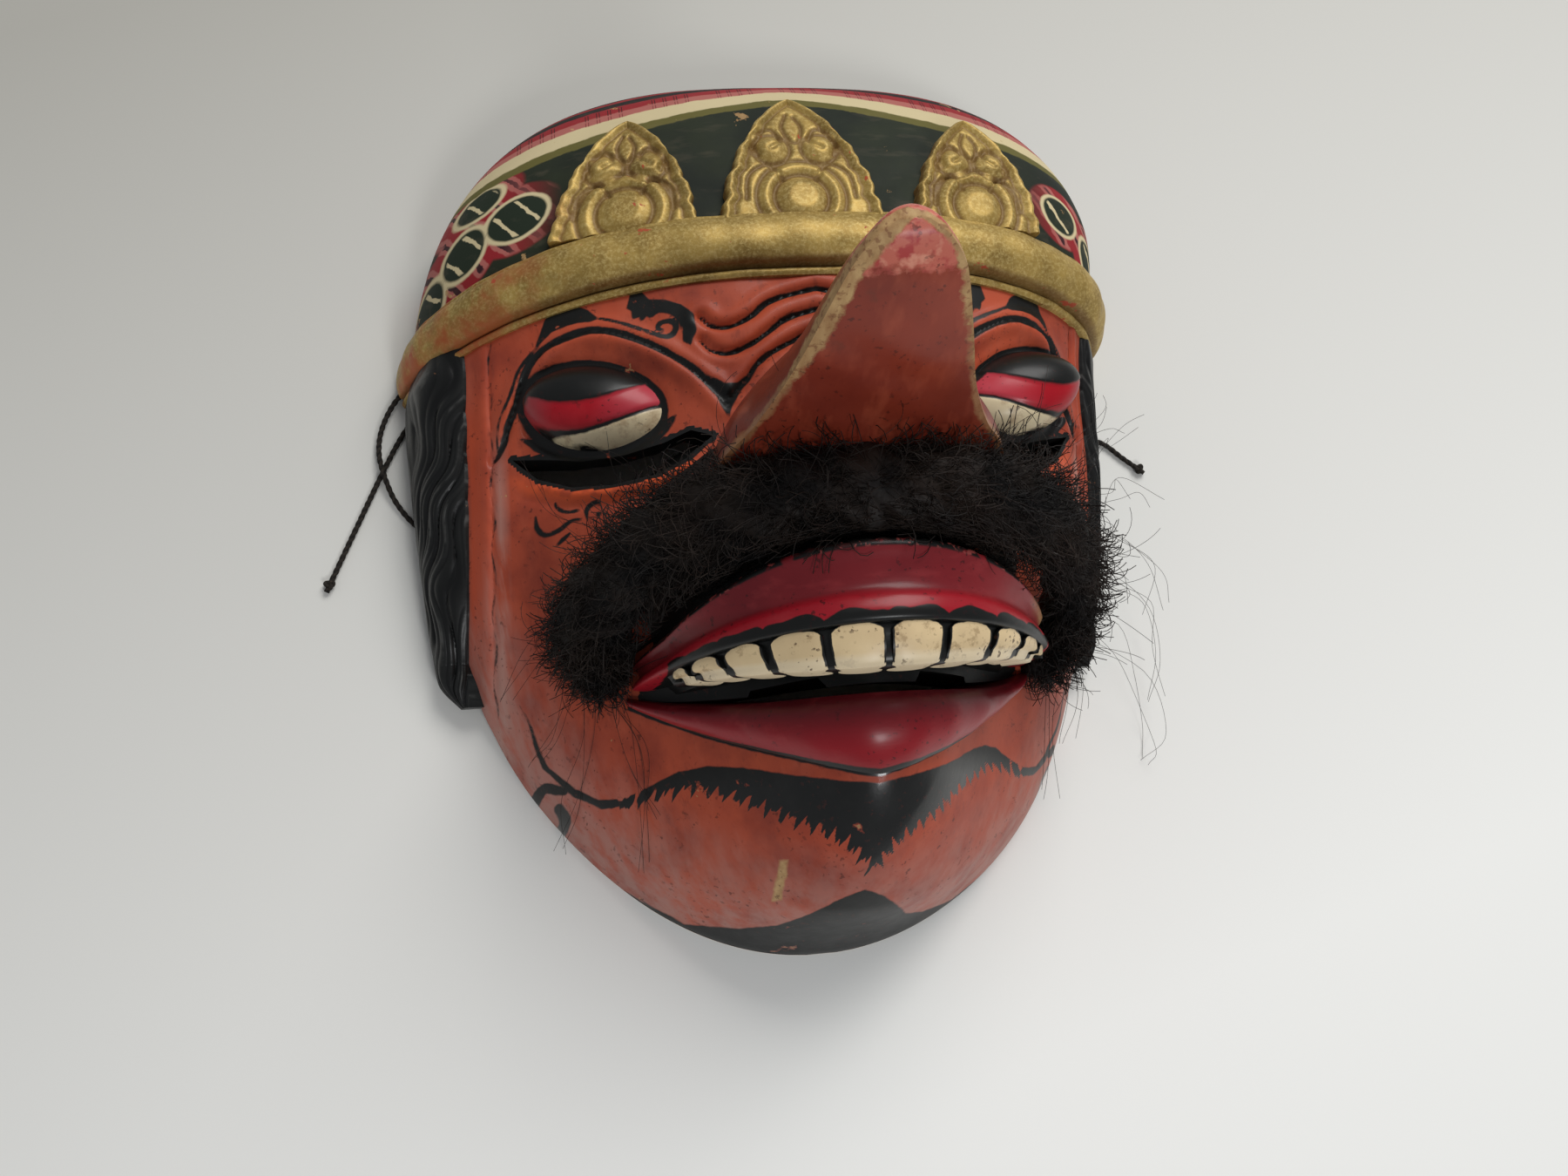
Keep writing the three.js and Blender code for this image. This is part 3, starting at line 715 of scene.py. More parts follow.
class MASK_OT_face(bpy.types.Operator):
    """Carved face, its hollow, eye slits and mouth"""
    bl_idname = "mask.face"
    bl_label = "Face"

    def execute(self, context):
        mesh = shell("carved_face", low=-93.4, high=46.5, columns=300, rows=306, height=face_height,
                     row_crowd=lambda t: mix(t, 1 - np.cos(t * np.pi / 2), 0.3))
        slits = []
        for side in (-1, 1):
            slits.append(prism(f"slit_{side + 1}", np.array(SLIT) * [side, 1], *THROUGH))
        mesh = cut("carved_face", mesh, [hollow_cutter(), *slits, *mouth_cutters(), arch_cutter()])
        piece = add_piece("carved_face", mesh, face_paint(), face_fields(coords(mesh)), crease=45)
        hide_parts("mask_body")
        return {"FINISHED"}


def crown_height(x, y):
    """Height of the headcloth, smoother than the face."""
    h = skin(x, y) + 0.6 * unevenness(x, y) * smooth(1, 0.9, rim_share(x, y))
    return np.where(rim_share(x, y) > 0.999, FOOT_LIFT, np.maximum(h, FOOT_LIFT))


def stripe_edge(x):
    """Front edge of the striped hem of the headcloth."""
    return 84.9 - 0.26 * np.sqrt(x**2 + 9)


# Painted rounds of the headcloth: middle, half length, half breadth and turn.
MOTIFS = [
    (-57, 58, 6.2, 4.6, 0.5), (-67.5, 53.5, 5.4, 3.6, 1.1), (-74.2, 46, 5, 2.6, 1.4),
    (-64.5, 64.5, 5, 3, 0.6), (60, 57, 5, 4, -0.6), (70, 50, 4.5, 3, -1.1),
]


def crown_fields(p):
    """Paint layers of the headcloth: distances to the hem and to the nearest round."""
    x, y, z = p.T
    edge = stripe_edge(x)
    hem = np.hypot(y - edge, skin(x, np.minimum(edge, 99)) - z) * np.sign(y - edge)
    motif = np.full(x.shape, FAR)
    for cx, cy, a, b, turn in MOTIFS:
        c, s = math.cos(turn), math.sin(turn)
        dx, dy = x - cx, y - cy
        r = np.hypot((dx * c + dy * s) / a, (-dx * s + dy * c) / b)
        motif = np.minimum(motif, (r - 1) * b)
    return {"hem": hem, "motif": motif, "inner": np.where(behind(x, y, z), 1.0, 0.0),
            "plan_x": x, "plan_y": y}


class MASK_OT_crown(bpy.types.Operator):
    """Painted headcloth above the band"""
    bl_idname = "mask.crown"
    bl_label = "Crown"

    def execute(self, context):
        mesh = shell("crown", low=28, high=99.96, columns=300, rows=190, height=crown_height,
                     row_crowd=lambda t: mix(t, np.sin(t * np.pi / 2), 0.75))
        mesh = cut("crown", mesh, [hollow_cutter(), arch_cutter(), face_cutter()])
        add_piece("crown", mesh, crown_paint(), crown_fields(coords(mesh)), crease=45)
        return {"FINISHED"}


def face_cutter():
    """Keeps the crown behind the band, where the face ends."""
    x = np.linspace(-95, 95, 80)
    outline = np.r_[np.c_[x, band_y(x) - 1], [[95, -20], [-95, -20]]]
    return prism("face_cutter", outline, -5, 90)


def on_skin(x, y):
    return np.stack([x, y, np.maximum(FOOT_LIFT, skin(x, y))], -1)


class MASK_OT_band(bpy.types.Operator):
    """Gilt roll band across the forehead"""
    bl_idname = "mask.band"
    bl_label = "Band"

    def execute(self, context):
        def place(u, v):
            turn = mix(-1, 1, u) * 1.53
            half = mix(7, 6, abs(np.sin(turn)) ** 4)
            y = band_y(HALF_WIDTH * np.sin(turn)) + half * mix(-1, 1, v)
            return on_skin(rim_half(y) * np.sin(turn), y)

        def relief(u, v):
            across = mix(-1, 1, v)
            high = mix(5, 2.6, abs(mix(-1, 1, u)) ** 3)
            roll = high * np.sqrt(clamp(1 - ((across - 0.1) / 0.93) ** 2))
            fillet = 1.3 - 0.5 * smooth(-0.9, -1, across)
            shape = np.where(across < -0.72, fillet, np.maximum(roll, 0.4))
            groove = -0.5 * bump(across - 0.78, 0.05) - 1.1 * bump(across + 0.73, 0.05)
            wave = 0.12 * np.sin(u * 61 + 3 * v) + 0.09 * np.sin(u * 143 + 1)
            return shape + groove + wave * smooth(0, 0.2, v)

        points, quads, _, v = raised(place, relief, columns=420, rows=44, depth=3.5)
        add_piece("gilt_band", (points, quads), gilding(),
                  {"dip": np.abs(v - 0.14) * 12, "plan_x": points[:, 0]})
        return {"FINISHED"}


LEAVES = [
    {"x": -36.5, "half": 16.8, "foot": 49, "tip": 76.5, "slant": 2.5},
    {"x": -1, "half": 19.4, "foot": 49.5, "tip": 81.5, "slant": 0.6},
    {"x": 36.5, "half": 16.8, "foot": 49, "tip": 76.5, "slant": 1},
]
LEAF_THICK = 2.3
LEAF_SWIRLS = [
    [[-0.72, 0.16], [-0.66, 0.34], [-0.4, 0.42], [-0.22, 0.3]],
    [[-0.5, 0.5], [-0.56, 0.66], [-0.3, 0.72], [-0.2, 0.6], [-0.34, 0.54]],
    [[-0.06, 0.86], [-0.14, 0.74], [-0.05, 0.62], [0.06, 0.62], [0.12, 0.74], [0.04, 0.84]],
    [[0.72, 0.16], [0.66, 0.34], [0.4, 0.42], [0.22, 0.3]],
    [[0.5, 0.5], [0.56, 0.66], [0.3, 0.72], [0.2, 0.6], [0.34, 0.54]],
]


class MASK_OT_leaves(bpy.types.Operator):
    """Three gilt leaves with carved rounds and swirls"""
    bl_idname = "mask.leaves"
    bl_label = "Leaves"

    def execute(self, context):
        for number, leaf in enumerate(LEAVES):
            tall = leaf["tip"] - leaf["foot"]

            def half(v):
                wear = 1 + 0.022 * np.sin(v * 26) + 0.014 * np.sin(v * 57 + number)
                return np.maximum(0.5, leaf["half"] * (1 - v) ** 0.6 * (1 - 0.16 * (1 - v) ** 3) * wear)

            def place(u, v):
                x = leaf["x"] + leaf["slant"] * v + half(v) * mix(-1, 1, u)
                return on_skin(x, mix(leaf["foot"], leaf["tip"], v))

            def relief(u, v):
                px, py = half(v) * mix(-1, 1, u), v * tall
                edge = half(v) - abs(px)
                hem = sizes().leaf_edge * 1000 * 0.7
                rise = LEAF_THICK + hem * bump(edge - 1.0, 0.9) - 0.4 * bump(edge - 2.6, 0.6)
                low = np.hypot(px, py - 0.16 * tall)
                rise += 0.9 * smooth(5.2, 2.5, low) - 0.6 * bump(low - 5.6, 0.6) + 0.45 * bump(low - 7.4, 0.8)
                rise -= 0.5 * bump(low - 9.2, 0.6)
                for spot in (-1, 1):
                    d = np.hypot(px - spot * 0.42 * leaf["half"] * 0.62, py - 0.55 * tall)
                    rise += 0.9 * smooth(3.4, 1.2, d) - 0.5 * bump(d - 3.9, 0.55)
                for line in LEAF_SWIRLS:
                    pts = [[a * leaf["half"] * 0.8, b * tall] for a, b in line]
                    d, _ = to_path(px, py, pts)
                    rise -= 0.55 * bump(d, 0.5)
                return rise - 1.0 * smooth(0.5, 0.0, edge)

            points, quads, u, v = raised(place, relief, columns=110, rows=120, depth=3)
            deep = relief(u, v) - LEAF_THICK
            add_piece(f"gilt_leaf_{number}", (points, quads), gilding(),
                      {"dip": clamp(deep + 0.45, 0, 3) * 3, "plan_x": points[:, 0]})
        return {"FINISHED"}


NOSE_LEVELS = [
    [34, -11, 26, 31], [52, -12, 26.5, 25], [62, -11.5, 26, 22], [69, -9.8, 24, 20], [74, -8, 20.5, 18.8],
    [80, -6, 17.6, 18], [87, -4.4, 15.2, 16.4], [95, -2.8, 13.1, 14.8], [107, 0.6, 9.8, 12],
    [112, 2.5, 7.9, 10.6], [115.2, 4.6, 5.2, 9.4], [116.6, 6.3, 2.2, 8.3],
]


class MASK_OT_nose(bpy.types.Operator):
    """Long nose with a flat underside and worn edges"""
    bl_idname = "mask.nose"
    bl_label = "Nose"

    def execute(self, context):
        levels = through(NOSE_LEVELS, np.r_[np.linspace(0, 0.92, 170), np.linspace(0.923, 1, 26)])
        z, under, half, bridge = (levels[:, i:i + 1] for i in range(4))
        a = np.linspace(0, np.pi, 110)[None]
        pinch = mix(mix(2.9, 1.9, smooth(84, 108, z)), 1, smooth(112, 116.6, z))
        top_x, top_y = half * power(np.cos(a), pinch), under + (bridge - under) * np.sin(a)
        t = np.linspace(0, 1, 72)[None, 1:-1]
        low_x = mix(-half, half, t)
        low_y = under - 0.09 * half * np.sin(np.pi * t)
        knife = 0.12 * np.sin(z * 0.5 + low_x * 0.35) * np.sin(np.pi * t)
        x, y = np.concatenate([top_x, low_x], 1), np.concatenate([top_y, low_y + knife], 1)
        zz = np.broadcast_to(z, x.shape)
        shape = loft(np.stack([x, y, zz], 2))
        flank = np.concatenate([np.hypot(half - abs(top_x), top_y - under), half - abs(low_x)], 1).ravel()
        add_piece("nose", shape, nose_paint(),
                  {"flank": np.r_[flank, 20, 0], "tip": shape[0][:, 2], "plan_x": shape[0][:, 0]}, crease=60)
        return {"FINISHED"}


TOOTH_EDGES = [0, 10.4, 20, 27.2, 32.2, 35.2]
# Shares down the upper lip and how far it stands out there.
LIP_ROLL = [(0.3, -0.4), (0.55, -0.7), (0.72, 0.35), (0.88, 0.75)]


class MASK_OT_mouth(bpy.types.Operator):
    """Lips, teeth and the muzzle that carries them"""
    bl_idname = "mask.mouth"
    bl_label = "Mouth"

    def execute(self, context):
        self.muzzle()
        self.upper_lip()
        self.teeth()
        self.lower_lip()
        return {"FINISHED"}

    def muzzle(self):
        table = [[MUZZLE_FRONT + 1.9, 34, 62], [-40, 36, 64], [-30, 38, 65.5], [-22, 40, 65], [-14, 41, 61],
                 [-6, 40, 54], [2, 36, 47], [9, 28, 40]]
        y, half, top = (c[:, None] for c in through(table, np.linspace(0, 1, 60)).T)
        a = np.linspace(0, np.pi, 110)[None]
        rings = np.stack(np.broadcast_arrays(half * np.cos(a), y, 12 + (top - 12) * np.sin(a) ** 0.9), 2)
        mesh = new_mesh("muzzle", *loft(rings))
        mesh = cut("muzzle", mesh, [hollow_cutter()])
        x, y, _ = coords(mesh).T
        even = {"ink": -1, "lid": FAR, "inner": 0, "rim": 30}
        fields = {key: np.full(len(x), value) for key, value in even.items()}
        add_piece("muzzle", mesh, face_paint(), {**fields, "plan_x": x, "plan_y": y})

    def upper_lip(self):
        turn = np.linspace(-1.5, 1.5, 260)
        x = LIP_HALF * np.sin(turn)
        share = np.linspace(0, 1, 60)
        rings = []
        lip_v = []
        for k, angle in enumerate(turn):
            rim, foot = lip_rim(x[k]), teeth_top(x[k])
            nick = 0.25 * math.sin(k * 0.9) * math.sin(k * 0.23)
            table = [[rim, -9.5, 0], [rim + 0.2 + nick, -1.6, 0], [rim - 0.9, 0.35, 0.06],
                     *[[mix(rim, foot, s), out, s] for s, out in LIP_ROLL],
                     [foot + 0.2, 0.1, 0.98], [foot, -2.4, 1], [foot, -9.5, 1]]
            pts = through(table, share)
            rings.append(arch_point(angle, pts[:, 0], pts[:, 1]))
            lip_v.append(pts[:, 2])
        shape = loft(rings)
        px, py, _ = shape[0].T
        scallop = np.full(px.shape, FAR)
        for a, b in zip(TOOTH_EDGES[:-1], TOOTH_EDGES[1:]):
            middle, wide = (a + b) / 2, (b - a) / 2
            round_top = np.sqrt(clamp(1 - ((abs(px) - middle) / wide) ** 2))
            arc = teeth_top(px) + 0.3 + 1.3 * round_top * min(1, wide / 4)
            scallop = np.where((abs(px) >= a) & (abs(px) < b), py - arc, scallop)
        add_piece("upper_lip", shape, lip_paint("upper_lip_paint"),
                  {"lip_v": np.r_[np.array(lip_v).ravel(), 0, 0],
                   "ink": scallop - 0.85 - 0.3 * np.sin(px * 0.9 + 1), "plan_x": px})

    def teeth(self):
        rings = []
        for angle in np.arcsin(clamp(np.linspace(-35.9, 35.9, 160) / LIP_HALF, -1, 1)):
            gx = LIP_HALF * math.sin(angle)
            top, foot = teeth_top(gx) + 0.7, teeth_foot(gx) + 0.35
            table = [[top, -8], [top, -1.5], [mix(top, foot, 0.5), -2.0], [foot, -3.4], [foot, -8]]
            pts = through(table, np.linspace(0, 1, 20))
            rings.append(arch_point(angle, pts[:, 0], pts[:, 1]))
        shape = loft(rings)
        x = shape[0][:, 0]
        add_piece("gum_line", shape, lip_paint("gum_paint", black=True),
                  {"lip_v": np.full(len(x), 0.5), "ink": np.full(len(x), -1), "plan_x": x})
        parts, fields, start = [], [], 0
        for side in (-1, 1):
            for low, high in zip(TOOTH_EDGES[:-1], TOOTH_EDGES[1:]):
                rings, local = self.tooth(side, low, high)
                points, quads, tris = loft(rings)
                parts.append((points, quads[:, ::side] + start, tris[:, ::side] + start))
                fields.append(np.r_[local, [[0.5, 0], [0.5, 0]]])
                start += len(points)
        local = np.concatenate(fields)
        add_piece("teeth", tuple(np.concatenate(kind) for kind in zip(*parts)), tooth_paint(),
                  {"tooth_v": local[:, 0], "tooth_edge": local[:, 1]})

    def tooth(self, side, low, high):
        """Rings of one tooth, and at each point its share down the tooth and its distance to the gap."""
        gap = 0.62 if high < 30 else 0.3
        a0, a1 = math.asin((low + gap) / LIP_HALF), math.asin((high - gap) / LIP_HALF)
        rings, local = [], []
        for k in np.linspace(0, 1, 26):
            angle = side * mix(a0, a1, k)
            tx = LIP_HALF * math.sin(angle)
            round_off = 1 - math.sqrt(max(0, 1 - (mix(-1, 1, k) * 0.97) ** 2))
            top = teeth_top(tx) + 0.35 - 2.1 * round_off**1.3
            foot = teeth_foot(tx) + 0.35 * round_off
            swell = 0.75 * math.sqrt(max(0, 1 - (mix(-1, 1, k) * 0.9) ** 2)) - 0.75
            table = [[top, -8, 0], [top, swell - 1.0, 0], [top - 0.5, swell - 0.25, 0.1],
                     [mix(top, foot, 0.45), swell - 0.75, 0.45], [foot + 1.3, swell - 1.9, 0.8],
                     [foot + 0.35, swell - 2.6, 0.95], [foot, swell - 3.5, 1], [foot, -8, 1]]
            pts = through(table, np.linspace(0, 1, 34))
            rings.append(arch_point(angle, pts[:, 0], pts[:, 1]))
            local.append(np.c_[pts[:, 2], np.full(len(pts), min(k, 1 - k) * (high - low))])
        return rings, np.concatenate(local)

    def lower_lip(self):
        def place(u, v):
            x = 39.5 * mix(-1, 1, u)
            return on_skin(x, mix(lower_lip_foot(x), lower_lip_top(x) + 0.5, v))

        def relief(u, v):
            ends = np.sqrt(clamp(1 - mix(-1, 1, u) ** 4))
            return 0.3 + 4.6 * ends * np.sin(np.pi * mix(0.08, 0.8, v)) ** 0.8 + 0.08 * np.sin(u * 70) * ends

        points, quads, _, v = raised(place, relief, columns=240, rows=60, depth=4)
        add_piece("lower_lip", (points, quads), lip_paint("lower_lip_paint", lower=True),
                  {"lip_v": v, "ink": v * 9 - 0.75, "plan_x": points[:, 0]})


class MASK_OT_eyes(bpy.types.Operator):
    """Bulging eyes with painted lids"""
    bl_idname = "mask.eyes"
    bl_label = "Eyes"

    def execute(self, context):
        for side in (-1, 1):
            lat = np.linspace(0.02, np.pi - 0.02, 90)[:, None]
            lon = np.linspace(0, 2 * np.pi, 130, endpoint=False)[None]
            u, w, v = np.cos(lat) + 0 * lon, np.sin(lat) * np.cos(lon), np.sin(lat) * np.sin(lon)
            almond = 1 - 0.12 * clamp(abs(u)) ** 2
            low = np.where(v < 0, 0.94, 1.0)
            dx, dy, dz = u * EYE["long"], v * EYE["short"] * almond * low, w * EYE["high"]
            upper, lower = eye_borders(u)
            lid = 0.35 * smooth(-0.03, 0.03, v - upper) - 0.4 * bump(v - lower, 0.05)
            dz = dz + np.where(w > 0, lid, 0)
            c, s = math.cos(side * EYE["tilt"]), math.sin(side * EYE["tilt"])
            dx = dx * side
            x = side * EYE["x"] + EYE["shift"] + dx * c - dy * s
            y = EYE["y"] + dx * s + dy * c
            fields = {"eye_u": np.r_[u.ravel(), 1, -1], "eye_v": np.r_[v.ravel(), 0, 0]}
            add_piece(f"eye_{SIDE[side]}", loft(np.stack([x, y, EYE["z"] + dz], 2)), eye_paint(), fields,
                      crease=None)
        return {"FINISHED"}


HAIR_TOP, HAIR_FOOT, HAIR_LIFT = 34, -38.6, 3.8


class MASK_OT_locks(bpy.types.Operator):
    """Carved black locks in front of the ears"""
    bl_idname = "mask.locks"
    bl_label = "Side locks"

    def execute(self, context):
        inner = LOCK_INNER
        for side, breadth in ((-1, 0.94), (1, 0.62)):
            v = np.linspace(0, 1, 300)[:, None]
            u = np.linspace(0, 1, 84)[None]
            y = mix(HAIR_FOOT, HAIR_TOP, v)
            top = np.maximum(6, skin(inner + 0 * y, y))
            outer = HALF_WIDTH - 6.5 * (np.maximum(0, 22 - y) / 63) ** 1.3
            outer = mix(inner, outer, breadth * (0.35 + 0.65 * np.sqrt(1 - (1 - smooth(0, 0.13, v)) ** 2)))
            phase = v * 4.4 + u * 3.2 + 0.55 * np.sin(u * 2.6 + v * 9) + 0.2 * np.sin(v * 23 - u * 5)
            wave = abs(np.sin(np.pi * phase))
            fine = abs(np.sin(np.pi * (phase * 3 + 0.3 * np.sin(v * 31))))
            lock = 0.8 + 1.1 * wave**0.7 * (0.35 + 0.65 * np.sin(np.pi * u)) + 0.35 * fine * np.sin(np.pi * u)
            lock = lock * smooth(-0.02, 0.08, v) * mix(0.2, 1, smooth(1, 0.9, v)) * breadth
            turn = u * np.pi / 2
            x = mix(inner, outer, np.sin(turn)) + lock * np.sin(turn)
            z = mix(HAIR_LIFT, top, np.cos(turn)) + lock * np.cos(turn)
            back_x = np.full((len(v), 2), HALF_WIDTH - 18.0)
            back_z = np.c_[np.full(len(v), HAIR_LIFT), np.maximum(HAIR_LIFT + 1, top[:, 0] - 4)]
            xs, zs = np.concatenate([x, back_x], 1) * [[side]], np.concatenate([z, back_z], 1)
            groove = np.concatenate([np.minimum(wave, 0.25 + fine * 0.8), np.ones(back_x.shape)], 1).ravel()
            add_piece(f"side_locks_{SIDE[side]}",
                      loft(np.stack([xs, np.broadcast_to(y, xs.shape), zs], 2)), lock_paint(),
                      {"groove": np.r_[groove, 1, 1]})
        return {"FINISHED"}


# Half breadth and half thickness of the fur's base, and of the ring its hairs grow from.
FUR_BASE, FUR_ROOTS = (7.0, 4.9), (6.7, 4.4)
# Hairs stay above the table and in the room round the solids, in metres.
HAIR_LOW, HAIR_HIGH, HAIR_SIDES = 0.0004, 0.122, (-0.088, 0.0905)
FUR_PATH = [
    [41, -43.5, 28], [46, -36, 31], [46, -27.5, 38], [38.5, -21.5, 50], [28, -18.6, 61], [14, -17.4, 68.5],
]


def fur_line(t):
    """Middle line of the moustache; its left end hangs less."""
    left = [[-x, y + 0.25 * max(0, -27.5 - y), z] for x, y, z in FUR_PATH]
    return through([*left, [0, -17.2, 70.5], *FUR_PATH[::-1]], t)


def fur_frame(t):
    """Points of the middle line, three directions at each, and the fur's breadth, less at its ends."""
    p = fur_line(t)
    along = fur_line(t + 1e-3) - fur_line(t - 1e-3)
    along /= np.maximum(np.linalg.norm(along, axis=1, keepdims=True), 1e-9)
    out = np.c_[p[:, 0] / 60, np.full(len(p), -0.15), np.ones(len(p))]
    across = np.cross(along, out)
    across /= np.linalg.norm(across, axis=1, keepdims=True)
    away = np.cross(across, along)
    return p, along, across, away, mix(0.42, 1, smooth(0, 0.16, np.minimum(t, 1 - t)))


def hair_tree():
    """Geometry nodes that thicken drawn hairs into thin tubes."""
    tree = bpy.data.node_groups.new("hair_tubes", "GeometryNodeTree")
    face = tree.interface
    face.new_socket("Geometry", in_out="INPUT", socket_type="NodeSocketGeometry")
    radius = face.new_socket("Hair radius", in_out="INPUT", socket_type="NodeSocketFloat")
    finish = face.new_socket("Material", in_out="INPUT", socket_type="NodeSocketMaterial")
    face.new_socket("Geometry", in_out="OUTPUT", socket_type="NodeSocketGeometry")
    add = tree.nodes.new
    start, end = add("NodeGroupInput"), add("NodeGroupOutput")
    curves, ring = add("GeometryNodeMeshToCurve"), add("GeometryNodeCurvePrimitiveCircle")
    body = add("GeometryNodeCurveToMesh")
    ring.inputs["Resolution"].default_value = 3
    real, dress = add("GeometryNodeRealizeInstances"), add("GeometryNodeSetMaterial")
    link = tree.links.new
    link(start.outputs["Geometry"], curves.inputs[0])
    link(curves.outputs[0], body.inputs["Curve"])
    link(start.outputs["Hair radius"], ring.inputs["Radius"])
    link(ring.outputs["Curve"], body.inputs["Profile Curve"])
    body.inputs["Fill Caps"].default_value = True
    link(body.outputs[0], real.inputs[0])
    link(real.outputs[0], dress.inputs["Geometry"])
    link(start.outputs["Material"], dress.inputs["Material"])
    link(dress.outputs[0], end.inputs[0])
    return tree, radius.identifier, finish.identifier


def hairs(name, strands, radius, material):
    """Drawn hairs (count x points x 3, placed metres) as one mesh of thin tubes."""
    count, n = strands.shape[:2]
    mesh = bpy.data.meshes.new(name + "_lines")
    mesh.vertices.add(count * n)
    mesh.vertices.foreach_set("co", strands.astype(np.float32).ravel())
    index = np.arange(count * n).reshape(count, n)
    edges = np.stack([index[:, :-1], index[:, 1:]], 2).reshape(-1, 2)
    mesh.edges.add(len(edges))
    mesh.edges.foreach_set("vertices", edges.astype(np.int32).ravel())
    mesh.update()
    drawn = show(name + "_drawn", mesh)
    tree, radius_input, material_input = hair_tree()
    grow = drawn.modifiers.new("hair", "NODES")
    grow.node_group = tree
    grow[radius_input] = radius
    grow[material_input] = material
    made = bpy.data.meshes.new_from_object(drawn.evaluated_get(bpy.context.evaluated_depsgraph_get()))
    made.name = name
    bpy.data.objects.remove(drawn)
    made.polygons.foreach_set("use_smooth", np.ones(len(made.polygons), bool))
    piece = show(name, made)
    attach(piece, "root")


